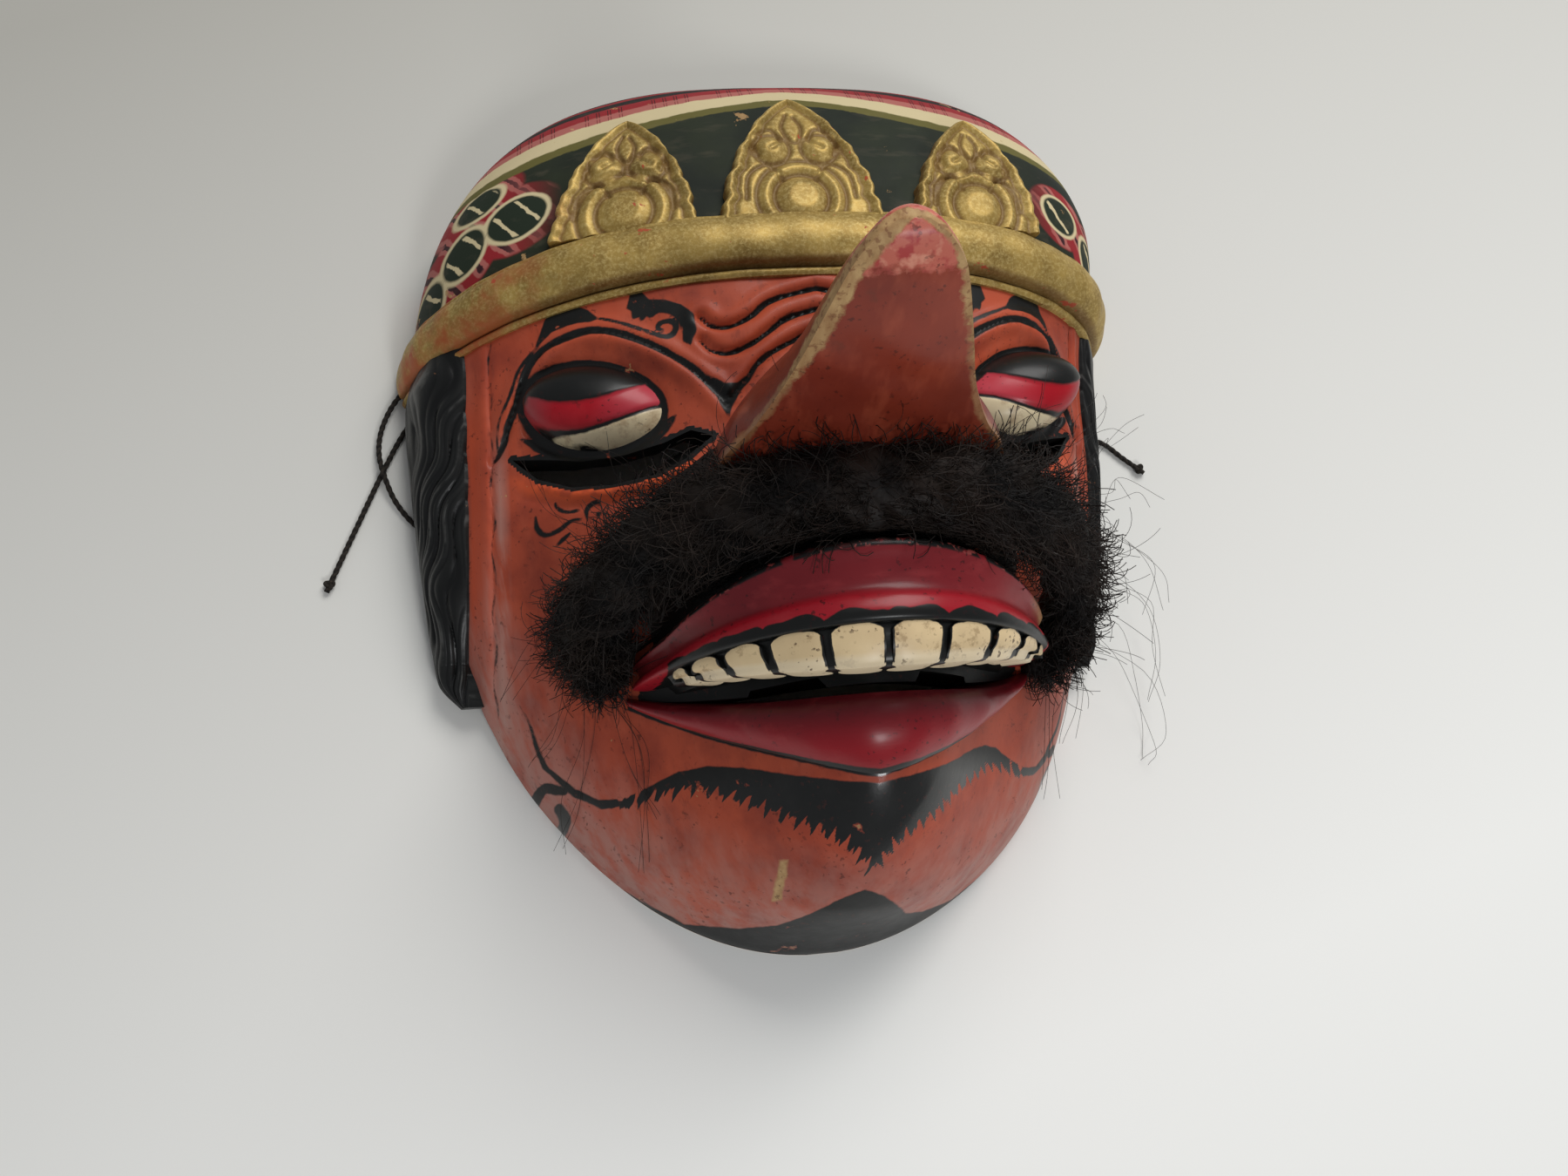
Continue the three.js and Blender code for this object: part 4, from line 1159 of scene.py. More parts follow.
class MASK_OT_moustache(bpy.types.Operator):
    """Moustache of dark fur with loose curls"""
    bl_idname = "mask.moustache"
    bl_label = "Moustache"

    def execute(self, context):
        fur = fur_paint()
        t = np.linspace(0.0, 1, 200)
        p, _, across, away, taper = fur_frame(t)
        a = np.linspace(0, 2 * np.pi, 48, endpoint=False)
        down = t[:, None]
        lump = 1 + 0.1 * np.sin(down * 61) * np.cos(a * 2 + down * 20) + 0.07 * np.sin(5 * a + down * 140)
        wide, thick = FUR_BASE
        rings = (p[:, None] + across[:, None] * (wide * taper[:, None] * lump * np.cos(a))[..., None]
                 + away[:, None] * (thick * taper[:, None] * lump * np.sin(a))[..., None])
        base = add_piece("fur_base", loft(rings), fur, crease=None)
        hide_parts("moustache")
        random = np.random.default_rng(7)
        thickness = sizes().hair_thickness
        for name, low, high in (("fur_left", 0.0, 0.5), ("fur_right", 0.5, 1.0)):
            strands = self.grow(random, sizes().hair_count, low, high, n=8, lengths=(5, 12), wild=0.85)
            hairs(name, strands, thickness, fur)
        loose = self.grow(random, 420, 0.0, 1.0, n=14, lengths=(13, 24), wild=2.2)
        hairs("loose_hairs", loose, thickness * 0.6, fur)
        hairs("stray_hairs", self.strays(random), thickness * 0.55, fur)
        return {"FINISHED"}

    def grow(self, random, count, low, high, n, lengths, wild):
        """Hairs of n points that leave the fur's base, curl, and lie on the face without entering it."""
        t = random.uniform(low, high, count)
        p, along, across, away, taper = fur_frame(t)
        a = random.uniform(-0.35, np.pi + 0.35, count)
        wide, thick = FUR_ROOTS
        start = p + across * (wide * taper * np.cos(a))[:, None] + away * (thick * taper * np.sin(a))[:, None]
        outward = across * np.cos(a)[:, None] * 0.55 + away * np.maximum(0.12, np.sin(a))[:, None] * 0.7
        inward = smooth(0, 0.16, np.minimum(t, 1 - t))[:, None]
        outward = outward * mix(0.75, 1, inward)
        flow = along * np.sign(t - 0.5)[:, None] * random.uniform(0.2, 1.3, (count, 1))
        flow = flow * mix(-0.15, 1, inward)
        heading = outward * random.uniform(0.25, 0.85, (count, 1)) + flow
        heading = heading + random.normal(0, 0.42 * wild, (count, 3))
        heading[:, 2] -= 0.15
        heading /= np.linalg.norm(heading, axis=1, keepdims=True)
        turn_axis = random.normal(0, 1, (count, 3))
        turn_axis /= np.linalg.norm(turn_axis, axis=1, keepdims=True)
        bend = random.uniform(0.08, 0.6, (count, 1)) * (0.6 if n > 10 else 1)
        step = random.uniform(*lengths, (count, 1)) / (n - 1)
        step = step * np.where(abs(p[:, :1]) > 36, 0.72, 1)
        points = [start]
        for _ in range(n - 1):
            points.append(points[-1] + heading * step)
            heading = heading + np.cross(turn_axis, heading) * bend
            heading[:, 2] -= 0.05
            heading /= np.linalg.norm(heading, axis=1, keepdims=True)
        strands = np.stack(points, 1)
        x, y, z = strands.reshape(-1, 3).T
        overhang = np.repeat(random.random(count) < 0.06, n)
        short = lip_rim(x) + 2.0 - y
        y = np.where((short > 0) & (abs(x) < LIP_HALF + 1) & ~overhang, y + short * 0.93, y)
        floor = np.maximum(skin(x, y), 0) + 0.25
        arch = LIP_BASE + LIP_RISE * np.sqrt(clamp(1 - (x / LIP_HALF) ** 2)) + 0.5
        over_lip = (y < lip_rim(x) + 0.6) & (y > -42) & (abs(x) < LIP_HALF)
        z = np.maximum(z, np.where(over_lip, np.maximum(floor, arch), floor))
        out = lean(np.c_[x, y, z])
        out[:, 2] = np.clip(out[:, 2], HAIR_LOW, HAIR_HIGH)
        return out.reshape(count, n, 3)

    def strays(self, random):
        """Long single hairs along drawn lines, three to a line."""
        drawn = [
            [[54, -10, 34], [66, -6, 27], [76, -4, 20], [84, -3.6, 14]],
            [[54, -14, 33], [66, -15, 27], [78, -20, 18], [83, -28, 10]],
            [[52, -24, 33], [64, -24, 26], [76, -28, 17], [83, -38, 8], [84, -47, 3]],
            [[50, -32, 30], [62, -34, 22], [74, -42, 12], [80, -52, 4], [76, -60, 1]],
            [[52, -6, 36], [62, 2, 32], [72, 8, 24], [80, 11, 18]],
            [[50, -2, 38], [58, 8, 34], [66, 15, 28]],
            [[50, -36, 28], [56, -46, 18], [58, -56, 9]],
            [[-44, -38, 28], [-40, -50, 24], [-37, -62, 20], [-37, -74, 11]],
            [[-46, -34, 29], [-47, -48, 21], [-49, -60, 11], [-52, -68, 3]],
            [[-42, -42, 27], [-38, -54, 25], [-34, -66, 21]],
            [[-48, -22, 33], [-56, -30, 24], [-60, -40, 15]],
            [[-44, -14, 38], [-52, -6, 34], [-57, 4, 30]],
            [[-34, -12, 50], [-40, -2, 42], [-46, 6, 40]],
            [[46, -40, 26], [48, -54, 16], [50, -64, 6]],
            [[-47, -30, 31], [-52, -44, 20], [-56, -52, 11]],
        ]
        out = []
        for path in drawn:
            for _ in range(3):
                shaken = np.array(path, float) + random.normal(0, 1.6, (len(path), 3))
                wave = np.sin(np.linspace(0, 6, 24) + random.uniform(0, 6))[:, None]
                line = through(shaken, np.linspace(0, 1, 24)) + wave * random.normal(0, 0.5, (1, 3))
                x, y, z = line.T
                line = lean(np.c_[x, y, np.maximum(z, np.maximum(skin(x, y), 0) + 0.4)])
                line[:, 0] = np.clip(line[:, 0], *HAIR_SIDES)
                line[:, 2] = np.maximum(line[:, 2], HAIR_LOW)
                out.append(line)
        return np.array(out)


CORD_PATH = [
    [-103, -11.2, 0.8], [-96.7, 2.8, 0.8], [-90.5, 16.3, 0.8], [-86.8, 23.4, 0.8], [-82.5, 29.5, 0.9],
    [-80.6, 34.2, 1.4], [-84, 34.8, 1.5], [-88.2, 31, 1.2], [-91.2, 24.5, 1.4], [-91.7, 18.6, 2.2],
    [-90.8, 14, 2.2], [-88.4, 7.6, 1.2], [-83.5, 1.5, 0.8], [-70, -7, 0.8], [-50, -10, 0.8], [-24, -4, 0.8],
    [4, 5, 0.8], [32, 13, 0.8], [56, 18, 0.8], [70.6, 14.8, 0.8], [75.9, 10.4, 0.8], [80.2, 6.8, 0.8],
]


TWIST_PITCH = 0.0032


def cord_line(count):
    """Even points along the cord, in placed metres."""
    rows = np.asarray(CORD_PATH, float)
    knots = np.r_[0, np.cumsum(np.linalg.norm(np.diff(rows, axis=0), axis=1) ** 0.5)]
    first, last = 2 * rows[0] - rows[1], 2 * rows[-1] - rows[-2]
    ext = np.r_[[first], rows, [last]]
    tk = np.r_[knots[0] - knots[1], knots, 2 * knots[-1] - knots[-2]]
    out = []
    for i in range(1, len(ext) - 2):
        t = np.linspace(tk[i], tk[i + 1], 60, endpoint=False)[:, None]
        p0, p1, p2, p3 = ext[i - 1:i + 3]
        t0, t1, t2, t3 = tk[i - 1:i + 3]
        a1 = (t1 - t) / (t1 - t0) * p0 + (t - t0) / (t1 - t0) * p1
        a2 = (t2 - t) / (t2 - t1) * p1 + (t - t1) / (t2 - t1) * p2
        a3 = (t3 - t) / (t3 - t2) * p2 + (t - t2) / (t3 - t2) * p3
        b1 = (t2 - t) / (t2 - t0) * a1 + (t - t0) / (t2 - t0) * a2
        b2 = (t3 - t) / (t3 - t1) * a2 + (t - t1) / (t3 - t1) * a3
        out.append((t2 - t) / (t2 - t1) * b1 + (t - t1) / (t2 - t1) * b2)
    line = np.concatenate([*out, rows[-1:]])
    length = np.r_[0, np.cumsum(np.linalg.norm(np.diff(line, axis=0), axis=1))]
    at = np.linspace(0, length[-1], count)
    even = np.stack([np.interp(at, length, line[:, i]) for i in range(3)], 1)
    return (even + FRAME_SHIFT) / 1000, length[-1] / 1000


class MASK_OT_cord(bpy.types.Operator):
    """Twisted tie cord with a knot at each end"""
    bl_idname = "mask.cord"
    bl_label = "Tie cord"

    def execute(self, context):
        line, length = cord_line(1000)
        thick = sizes().cord_diameter
        rings = tube(line * 1000, 1.0, 16)
        centre = line[:, None] * 1000
        spoke = rings - centre
        turn = np.linspace(0, 2 * np.pi, 16, endpoint=False)[None]
        twist = np.linspace(0, length / TWIST_PITCH * 2 * np.pi, len(line))[:, None]
        lobes = 0.5 * thick * 1000 * (0.72 + 0.28 * abs(np.cos(turn - twist)))
        shade = np.r_[abs(np.cos(turn - twist)).ravel(), 1, 1]
        dark = cord_paint()
        cord = add_piece("tie_cord_twist", loft(centre + spoke * lobes[..., None]), dark, {"lobe": shade},
                         bend=False, crease=None)
        for name, end in (("knot_left", 6), ("knot_right", -7)):
            middle = line[end] * 1000 + [0, 0, 0.35]
            k = np.linspace(0, 2 * np.pi, 90)
            trefoil = np.c_[np.sin(k) + 2 * np.sin(2 * k), np.cos(k) - 2 * np.cos(2 * k), -np.sin(3 * k)]
            shape = loft(tube(middle + 0.3 * trefoil, 0.42))
            add_piece(name, shape, dark, {"lobe": np.full(len(shape[0]), 0.8)},
                                   bend=False, crease=None)
        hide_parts("tie_cord")
        [tuple(q) for q in line[::8]] + [tuple(line[-1])]
        return {"FINISHED"}


# Finishes.
def shared(make):
    """Makes a material once, however many pieces wear it."""
    return lambda: bpy.data.materials.get(make.__name__) or make()


def speckle(paint):
    """Small dark specks and grime."""
    return paint.noise(900, 2).ramp(0.62, 0.67) * paint.noise(120, 2).ramp(0.45, 0.6)


def bare_wood(paint, along=(1, 1, 0.12)):
    """Wood colour, its grain drawn out along the axis with the small number."""
    grain = paint.noise(700, 4, 0.6, paint.stretched(along))
    tone = paint.blend(grain.ramp(0.3, 0.75), srgb(168, 128, 84), colour("bare"))
    return paint.blend(paint.noise(60, 3).ramp(0.45, 0.75) * 0.5, tone, srgb(140, 96, 62))


def unpainted(paint, inner):
    """Plain carved wood in the hollow and under the rim."""
    back = paint.blend(paint.noise(25, 3).ramp(0.4, 0.7), bare_wood(paint, (1, 0.1, 1)), srgb(110, 76, 48))
    paint.over(inner.ramp(0.4, 0.6), back)


def face_paint():
    paint = Paint("face_lacquer")
    ink, rim, inner, lid, x, y = paint.fields("ink", "rim", "inner", "lid", "plan_x", "plan_y")
    wobble = (paint.noise(420, 3) - 0.5) * 0.9
    cloud = paint.noise(28, 4)
    paint.tone = paint.blend(cloud.ramp(0.35, 0.7), colour("lacquer"), srgb(166, 70, 48))
    streak = paint.noise(260, 3, 0.6, paint.stretched((1, 0.16, 1)))
    paint.over(streak.ramp(0.5, 0.72) * 0.4, srgb(190, 92, 66))
    paint.over(paint.noise(90, 4).ramp(0.46, 0.72) * 0.65, colour("deep"))
    scuff = paint.noise(520, 4, 0.7, paint.stretched((1, 0.3, 1))).ramp(0.58, 0.7)
    paint.over(scuff * 0.35, srgb(112, 46, 34))
    # Pinkish grey near the face's outline below the brows, broken up by the brush streaks: a painted
    # reflection of the window.
    rim_reflection = rim.ramp(10, 1) * (streak.ramp(0.35, 0.6) * 0.7 + 0.25)
    paint.over(rim_reflection.held() * y.ramp(34, 26) * 0.75, srgb(176, 138, 128))
    paint.over(lid.inside(0.8, 3.2) * y.ramp(5, 0), srgb(214, 88, 46))
    patchy = paint.noise(300, 2).ramp(0.45, 0.6)
    paint.over(lid.inside(0.5, 2.2) * y.ramp(5, 0) * patchy * 0.7, srgb(150, 60, 40))
    strip = (x.size() - (HALF_WIDTH - 12.6)).size().inside(0.5, 1.2) * y.ramp(-30, -16) * y.ramp(26, 14)
    paint.over(strip * 0.85, srgb(192, 78, 46))
    # Pale grey stripe along the cheek ridge just inside the black hairline: a painted window reflection,
    # standing also for pale wear there.
    ridge_reflection_and_wear = (x.size() - (HALF_WIDTH - 17)).size().inside(1.0, 1.0) * y.ramp(16, 2)
    paint.over(ridge_reflection_and_wear * streak.ramp(0.34, 0.56) * 0.55, srgb(188, 150, 138))
    worn = paint.noise(150, 4, 0.65)
    scar = ((x + 14.5).size() - 0.7).high((y + 79).size() - 3.4)
    wood = bare_wood(paint)
    paint.over((scar + wobble).inside(0.25), wood)
    paint.over(worn.ramp(0.7, 0.715) * 0.8, wood)
    black = (ink + wobble * 0.55).inside(0.14) * (1 - worn.ramp(0.66, 0.7) * 0.75)
    shade = paint.blend(paint.noise(200, 3).ramp(0.5, 0.8) * 0.5, colour("ink"), srgb(33, 32, 30))
    paint.over(black, shade)
    paint.over(speckle(paint) * 0.6, srgb(70, 30, 22))
    unpainted(paint, inner)
    glossy = black * y.ramp(-58, -63) * y.ramp(-82, -78)
    rough = 0.38 - glossy * 0.16 + worn * 0.16 + streak * 0.12 - black * 0.06 + inner.ramp(0.4, 0.6) * 0.35
    height = streak * 0.35 + paint.noise(70, 2) * 0.8 + paint.noise(900, 2) * 0.12 + black * 0.12
    return paint.finish(rough, height, 0.00025, coat=(1 - inner.ramp(0.4, 0.6)) * 0.06 + glossy * 0.4,
                        coat_rough=0.1)


def crown_paint():
    paint = Paint("headcloth_paint")
    hem, motif, inner, x, y = paint.fields("hem", "motif", "inner", "plan_x", "plan_y")
    wobble = (paint.noise(260, 3) - 0.5) * 1.2
    edge = hem + wobble
    streak = paint.noise(300, 3, 0.6, paint.stretched((0.3, 1, 1)))
    paint.tone = paint.blend(paint.noise(60, 3).ramp(0.4, 0.7), colour("field"), srgb(30, 36, 30))
    olive, cream, pink, red = srgb(104, 98, 50), srgb(214, 198, 156), srgb(178, 104, 96), srgb(150, 38, 44)
    side = x.size().ramp(48, 60)
    shape = motif + wobble * 0.4
    weave = (x * 0.9 + y * 0.7 + wobble * 2).sine()
    paint.over(side * shape.inside(0.3, 3.2), red)
    paint.over(side * shape.inside(0.3, 3.0) * weave.ramp(-0.2, 0.1), pink)
    paint.over(side * shape.inside(0.3, 2.6) * weave.ramp(0.82, 0.9), srgb(60, 30, 36))
    paint.over(shape.inside(0.2, 0.75), cream)
    paint.over(shape.inside(0.2, 0.0), srgb(36, 46, 34))
    paint.over(shape.inside(0.2, -0.5) * (weave * -1).ramp(0.86, 0.94), cream)
    for start, shade in ((0.0, olive), (2.6, cream), (7.4, pink), (10.2, red), (13.4, srgb(28, 26, 26)),
                         (16.5, red), (18.5, srgb(26, 24, 24)), (25, srgb(60, 44, 34))):
        paint.over(edge.ramp(start - 0.2, start + 0.2), shade)
    tick = (x * 0.42).fraction()
    pair = tick.ramp(0.10, 0.14) * tick.ramp(0.22, 0.18) + tick.ramp(0.34, 0.38) * tick.ramp(0.46, 0.42)
    sparse = ((x * 0.07).fraction()).ramp(0.62, 0.6)
    paint.over(pair * sparse * edge.ramp(9.6, 9.9) * edge.ramp(12.9, 12.6) * 0.9, srgb(28, 22, 22))
    paint.over(pair * sparse * edge.ramp(7.2, 7.5) * edge.ramp(9.3, 9.0) * 0.8, srgb(120, 40, 46))
    worn = paint.noise(170, 4, 0.65)
    paint.over(worn.ramp(0.68, 0.7) * 0.8, bare_wood(paint))
    paint.over(streak.ramp(0.55, 0.8) * 0.14, srgb(150, 132, 112))
    unpainted(paint, inner)
    height = streak * 0.4 + paint.noise(80, 2)
    return paint.finish(0.56 + worn * 0.2 + inner.ramp(0.4, 0.6) * 0.15, height, gloss=0.2)


@shared
def gilding():
    paint = Paint("gilding")
    dip, x = paint.fields("dip", "plan_x")
    leaf = paint.noise(140, 4, 0.6)
    fine = paint.noise(1400, 3, 0.7)
    paint.tone = paint.blend(leaf.ramp(0.35, 0.7), colour("gilt"), srgb(134, 108, 54))
    paint.over(fine.ramp(0.45, 0.7) * 0.6, srgb(220, 196, 130))
    # Dark red-brown in the carved grooves of the band and the leaves, by their depth: painted shade.
    paint.over(dip.ramp(1.1, 0.2) * 0.6, srgb(88, 50, 26))
    paint.over((0 - x).ramp(46, 66) * paint.noise(120, 3).ramp(0.42, 0.6), srgb(176, 96, 56))
    chipped = paint.noise(210, 4, 0.7).ramp(0.66, 0.69)
    paint.over(chipped * 0.85, srgb(176, 66, 44))
    paint.over(paint.noise(90, 3).ramp(0.6, 0.75) * 0.5, srgb(112, 92, 46))
    metal = (1 - chipped) * 0.42 - dip.ramp(1.1, 0.2) * 0.37
    height = leaf + fine * 0.35
    return paint.finish(0.4 + fine * 0.18 + chipped * 0.1, height, 0.00018, metallic=metal.held(),
                        coat_rough=0.3)


def nose_paint():
    paint = Paint("nose_lacquer")
    flank, tip, x = paint.fields("flank", "tip", "plan_x")
    wobble = (paint.noise(330, 4, 0.65) - 0.5)
    cloud = paint.noise(40, 4)
    paint.tone = paint.blend(cloud.ramp(0.35, 0.7), srgb(152, 60, 38), srgb(118, 42, 29))
    paint.over(tip.ramp(92, 60) * 0.85, srgb(92, 30, 21))
    ripple = paint.noise(240, 3, 0.6, paint.stretched((1, 1, 0.25)))
    paint.over(ripple.ramp(0.5, 0.75) * 0.35, srgb(196, 98, 68))
    dark = paint.noise(95, 4).ramp(0.5, 0.62) * x.ramp(1.5, -1.5) * tip.ramp(92, 96) * tip.ramp(110, 106)
    paint.over(dark * 0.7, srgb(74, 58, 40))
    end = (tip + wobble * 8).ramp(110.0, 112.0)
    paint.over(end, srgb(206, 112, 94))
    paint.over(end * paint.noise(420, 3).ramp(0.5, 0.62) * 0.7, srgb(172, 36, 50))
    paint.over(end * paint.noise(300, 3).ramp(0.56, 0.66) * 0.8, srgb(232, 160, 134))
    left = x.ramp(1, -1)
    reach = 0.2 + left * tip.ramp(80, 98) * 2.2 + (1 - left) * tip.ramp(90, 104) * 0.9
    worn = (flank - reach + wobble * 3.4).inside(0.35) * tip.ramp(76, 86)
    faint = (flank - 1.0 + wobble * 3).inside(0.4) * tip.ramp(62, 70) * 0.5
    wood = bare_wood(paint, (1, 1, 0.15))
    paint.over(worn.high(faint), wood)
    paint.over(worn * paint.noise(800, 2).ramp(0.55, 0.62) * 0.55, srgb(120, 70, 44))
    paint.over(speckle(paint) * 0.6, srgb(60, 26, 20))
    height = ripple * 0.6 + paint.noise(85, 2) - worn * 0.5
    return paint.finish(0.32 + worn * 0.22 + ripple * 0.08, height, 0.00025, coat=(1 - worn) * 0.08,
                        coat_rough=0.22)


def lip_paint(name, lower=False, black=False):
    paint = Paint(name)
    v, ink, x = paint.fields("lip_v", "ink", "plan_x")
    wobble = (paint.noise(380, 3) - 0.5)
    streak = paint.noise(320, 3, 0.6, paint.stretched((0.25, 1, 1)))
    dark = srgb(108, 22, 30)
    paint.tone = paint.blend(paint.noise(45, 3).ramp(0.35, 0.65), dark, srgb(130, 32, 38))
    if lower:
        # The lower lip darkens towards its top, under the teeth: painted shade.
        paint.tone = paint.blend(v.ramp(0.9, 0.3), srgb(88, 16, 24), srgb(148, 24, 34))
    else:
        paint.over(v.ramp(0.58, 0.68), colour("crimson"))
        paint.over(x.ramp(10, 34) * 0.45, srgb(170, 48, 52))
        rim = v.ramp(0.11, 0.085)
        paint.over(rim * (paint.noise(260, 2).ramp(0.36, 0.42)), colour("ink"))
        paint.over(rim * paint.noise(700, 2).ramp(0.58, 0.64), srgb(150, 70, 66))
        worn = x.ramp(30, 36) * (v + wobble * 0.25).ramp(0.45, 0.2)
        paint.over(worn, bare_wood(paint))
    paint.over(streak.ramp(0.55, 0.8) * 0.35, srgb(168, 60, 62))
    paint.over((ink + wobble * 0.5).inside(0.12) if not black else ink.inside(), colour("ink"))
    paint.over(speckle(paint) * 0.7, srgb(48, 16, 18))
    height = streak * 0.6 + paint.noise(90, 2)
    return paint.finish(0.3 + streak * 0.1, height, coat=0.12, coat_rough=0.2)


def tooth_paint():
    paint = Paint("tooth_paint")
    v, edge = paint.fields("tooth_v", "tooth_edge")
    wobble = (paint.noise(420, 3) - 0.5)
    paint.tone = paint.blend(paint.noise(90, 3).ramp(0.35, 0.7), colour("cream"), srgb(210, 184, 142))
    paint.over(paint.noise(260, 4, 0.7).ramp(0.56, 0.64) * 0.55, srgb(150, 122, 86))
    paint.over(v.ramp(0.66, 0.8) * 0.6, srgb(240, 224, 192))
    lined = (v + wobble * 0.12).ramp(0.075, 0.05).high((edge + wobble * 0.6).ramp(0.42, 0.3))
    paint.over(lined * v.ramp(0.97, 0.93), colour("ink"))
    paint.over(speckle(paint) * 0.8, srgb(70, 46, 34))
    return paint.finish(0.42 + wobble * 0.1, paint.noise(200, 3), 0.00025, coat=0.15, coat_rough=0.3)


@shared
def eye_paint():
    paint = Paint("eye_paint")
    u, v = paint.fields("eye_u", "eye_v")
    wobble = (paint.noise(350, 3) - 0.5) * 0.12
    upper, lower = eye_borders(u)
    lid = (v - upper).high(v - u * 0.7 - 0.8) + wobble * 0.5
    white = v - lower + wobble * 0.5
    red = paint.blend(u.ramp(0.2, -0.5) * 0.75, srgb(172, 16, 32), srgb(208, 78, 92))
    red = paint.blend(paint.noise(200, 3).ramp(0.5, 0.7) * 0.4, red, srgb(190, 36, 46))
    red = paint.blend(u.ramp(0.62, 0.85) * 0.6, red, srgb(150, 64, 70))
    stained = paint.noise(220, 4, 0.7).ramp(0.5, 0.65)
    cream = paint.blend(stained * 0.6, srgb(230, 214, 176), srgb(170, 140, 104))
    paint.tone = paint.blend(lid.ramp(-0.02, 0.03), red, colour("ink"))
    paint.over(white.ramp(0.05, 0.01), colour("ink"))
    paint.over(white.ramp(-0.05, -0.09), cream)
    paint.over((v + wobble).ramp(-0.92, -0.97), colour("ink"))
    paint.over((u.size() + wobble).ramp(0.93, 0.97), colour("ink"))
    paint.over(speckle(paint) * 0.7, srgb(60, 24, 22))
    return paint.finish(0.36 + wobble, paint.noise(120, 2), coat=0.08)


@shared
def lock_paint():
    paint = Paint("lock_paint")
    groove = paint.field("groove")
    # Darker in the carved grooves of the locks and lighter on their crests, with grey on the crests: painted
    # shade and painted highlights.
    paint.tone = paint.blend(groove.ramp(0.3, 0.9) * 0.6, srgb(13, 14, 14), srgb(32, 33, 32))
    paint.over(groove.ramp(0.86, 1.0) * paint.noise(150, 3).ramp(0.5, 0.62) * 0.55, srgb(92, 92, 90))
    paint.over(paint.noise(200, 4, 0.7).ramp(0.68, 0.71) * 0.7, srgb(132, 92, 62))
    return paint.finish(0.3 + paint.noise(300, 2) * 0.12, paint.noise(300, 3), coat=0.06, coat_rough=0.25)


def fur_paint():
    paint = Paint("fur")
    paint.tone = paint.blend(paint.noise(110, 3).ramp(0.35, 0.7), srgb(14, 11, 10), srgb(44, 33, 26))
    return paint.finish(0.5 + paint.noise(700, 2) * 0.15, paint.noise(900, 3))


def cord_paint():
    paint = Paint("cord_paint")
    lobe = paint.field("lobe")
    fibre = paint.noise(2600, 2)
    # Darker where the twist's strands dip in and lighter on their crests: painted shade.
    paint.tone = paint.blend(lobe.ramp(0.2, 1.0) * 0.8, srgb(12, 10, 9), srgb(46, 40, 34))
    paint.over(fibre.ramp(0.55, 0.7) * 0.4, srgb(84, 74, 62))
    return paint.finish(0.72 + fibre * 0.15, fibre, 0.0001)


# Where the photograph's camera sits: its turn about each axis, and the mask's middle as it sees it.
CAMERA_TURN = (2.8905984799523976, -0.13878062891107691, -0.05650463371558372)
CAMERA_AWAY = (4.826468088524059, -15.485999542252733, 291.7586866142519)
FLOOR_REACH = 2
# Name, place, size, power and colour.
LIGHTS = (
    ("window", (0.28, 0.56, 0.68), 0.5, 5.2, (1.0, 0.99, 0.97)),
    ("fill", (0.20, -0.60, 0.64), 0.17, 1.9, (0.98, 0.99, 1.0)),
)


class MASK_OT_camera(bpy.types.Operator):
    """Camera where the photograph was taken"""
    bl_idname = "mask.camera"
    bl_label = "Camera"

    def execute(self, context):
        turn = Matrix.Identity(3)
        for angle, axis in zip(CAMERA_TURN, "XYZ"):
            turn = Matrix.Rotation(angle, 3, axis) @ turn
        turn = np.array(turn)
        centre = (-turn.T @ np.array(CAMERA_AWAY) + FRAME_SHIFT) / 1000
        data = bpy.data.cameras.new("photo_camera")
        data.lens, data.sensor_width, data.clip_start = 30.0, 36.0, 0.01
        camera = show("photo_camera", data)
        axes = Matrix((turn[0], -turn[1], -turn[2])).transposed().to_4x4()
        camera.matrix_world = Matrix.Translation(Vector(centre)) @ axes
        context.scene.camera = camera
        return {"FINISHED"}


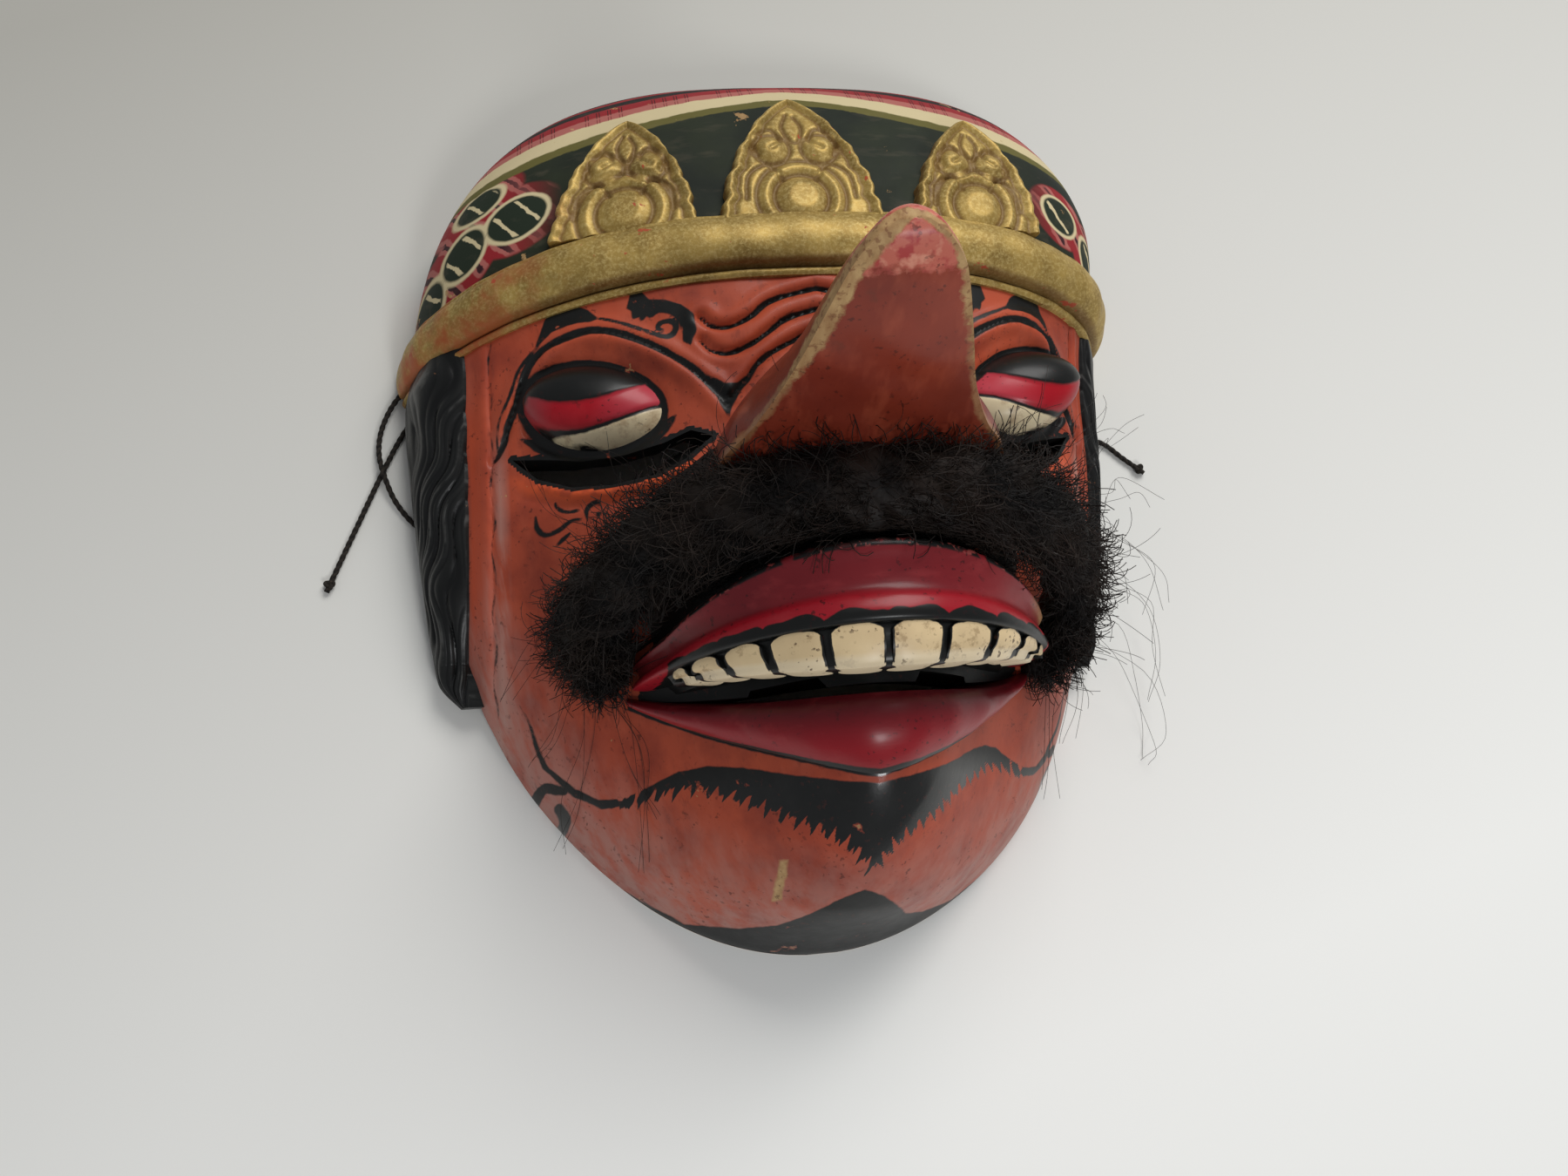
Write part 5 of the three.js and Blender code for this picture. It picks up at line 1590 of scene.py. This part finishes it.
class MASK_OT_stage(bpy.types.Operator):
    """Pale floor and soft studio light"""
    bl_idname = "mask.stage"
    bl_label = "Stage"

    def execute(self, context):
        floor = bpy.data.meshes.new("floor")
        far = FLOOR_REACH
        corners = [(-far, -far, 0), (far, -far, 0), (far, far, 0), (-far, far, 0)]
        floor.from_pydata(corners, [], [(0, 1, 2, 3)])
        paint = Paint("pale_floor")
        # The floor is grey towards +y and -x and near white towards -y and +x: painted light falling off
        # across the floor.
        painted_floor_light = (paint.axis("X") * 0.3 - paint.axis("Y") * 0.95).ramp(-165, 130)
        paint.tone = paint.blend(painted_floor_light, srgb(186, 184, 176), srgb(254, 254, 250))
        floor.materials.append(paint.finish(0.6))
        floor_object = show("floor", floor)
        world = bpy.data.worlds.new("studio")
        world.use_nodes = True
        back = world.node_tree.nodes["Background"]
        back.inputs["Color"].default_value = (0.93, 0.95, 1.0, 1)
        back.inputs["Strength"].default_value = 0.27
        context.scene.world = world
        context.scene.view_settings.view_transform = "Standard"
        for name, spot, size, power_w, tint in LIGHTS:
            light = bpy.data.lights.new(name, "AREA")
            light.energy, light.size, light.color = power_w, size, tint
            lamp = show(name, light)
            lamp.location = spot
            lamp.rotation_mode = "QUATERNION"
            lamp.rotation_quaternion = (-Vector(spot)).to_track_quat("-Z", "Y")
        return {"FINISHED"}


STEPS = (
    MASK_OT_camera, MASK_OT_cord, MASK_OT_face, MASK_OT_crown, MASK_OT_band, MASK_OT_leaves, MASK_OT_nose,
    MASK_OT_mouth, MASK_OT_eyes, MASK_OT_locks, MASK_OT_moustache, MASK_OT_stage,
)


class MASK_PT_panel(bpy.types.Panel):
    """Lists the mask's parts and sizes"""
    bl_label = "Carved mask"
    bl_space_type = "VIEW_3D"
    bl_region_type = "UI"
    bl_category = "Mask"

    def draw(self, context):
        for step in STEPS:
            self.layout.operator(step.bl_idname)
        for group in (context.scene.mask_sizes, context.scene.mask_colours):
            for key in type(group).__annotations__:
                self.layout.prop(group, key)


CLASSES = (CarvingSizes, PaintColours, *STEPS, MASK_PT_panel)


def register():
    for cls in CLASSES:
        bpy.utils.register_class(cls)
    bpy.types.Scene.mask_sizes = bpy.props.PointerProperty(type=CarvingSizes)
    bpy.types.Scene.mask_colours = bpy.props.PointerProperty(type=PaintColours)


def unregister():
    del bpy.types.Scene.mask_sizes, bpy.types.Scene.mask_colours
    for cls in reversed(CLASSES):
        bpy.utils.unregister_class(cls)


def main():
    register()
    for step in STEPS:
        group, verb = step.bl_idname.split(".")
        getattr(getattr(bpy.ops, group), verb)()


if __name__ == "__main__":
    main()
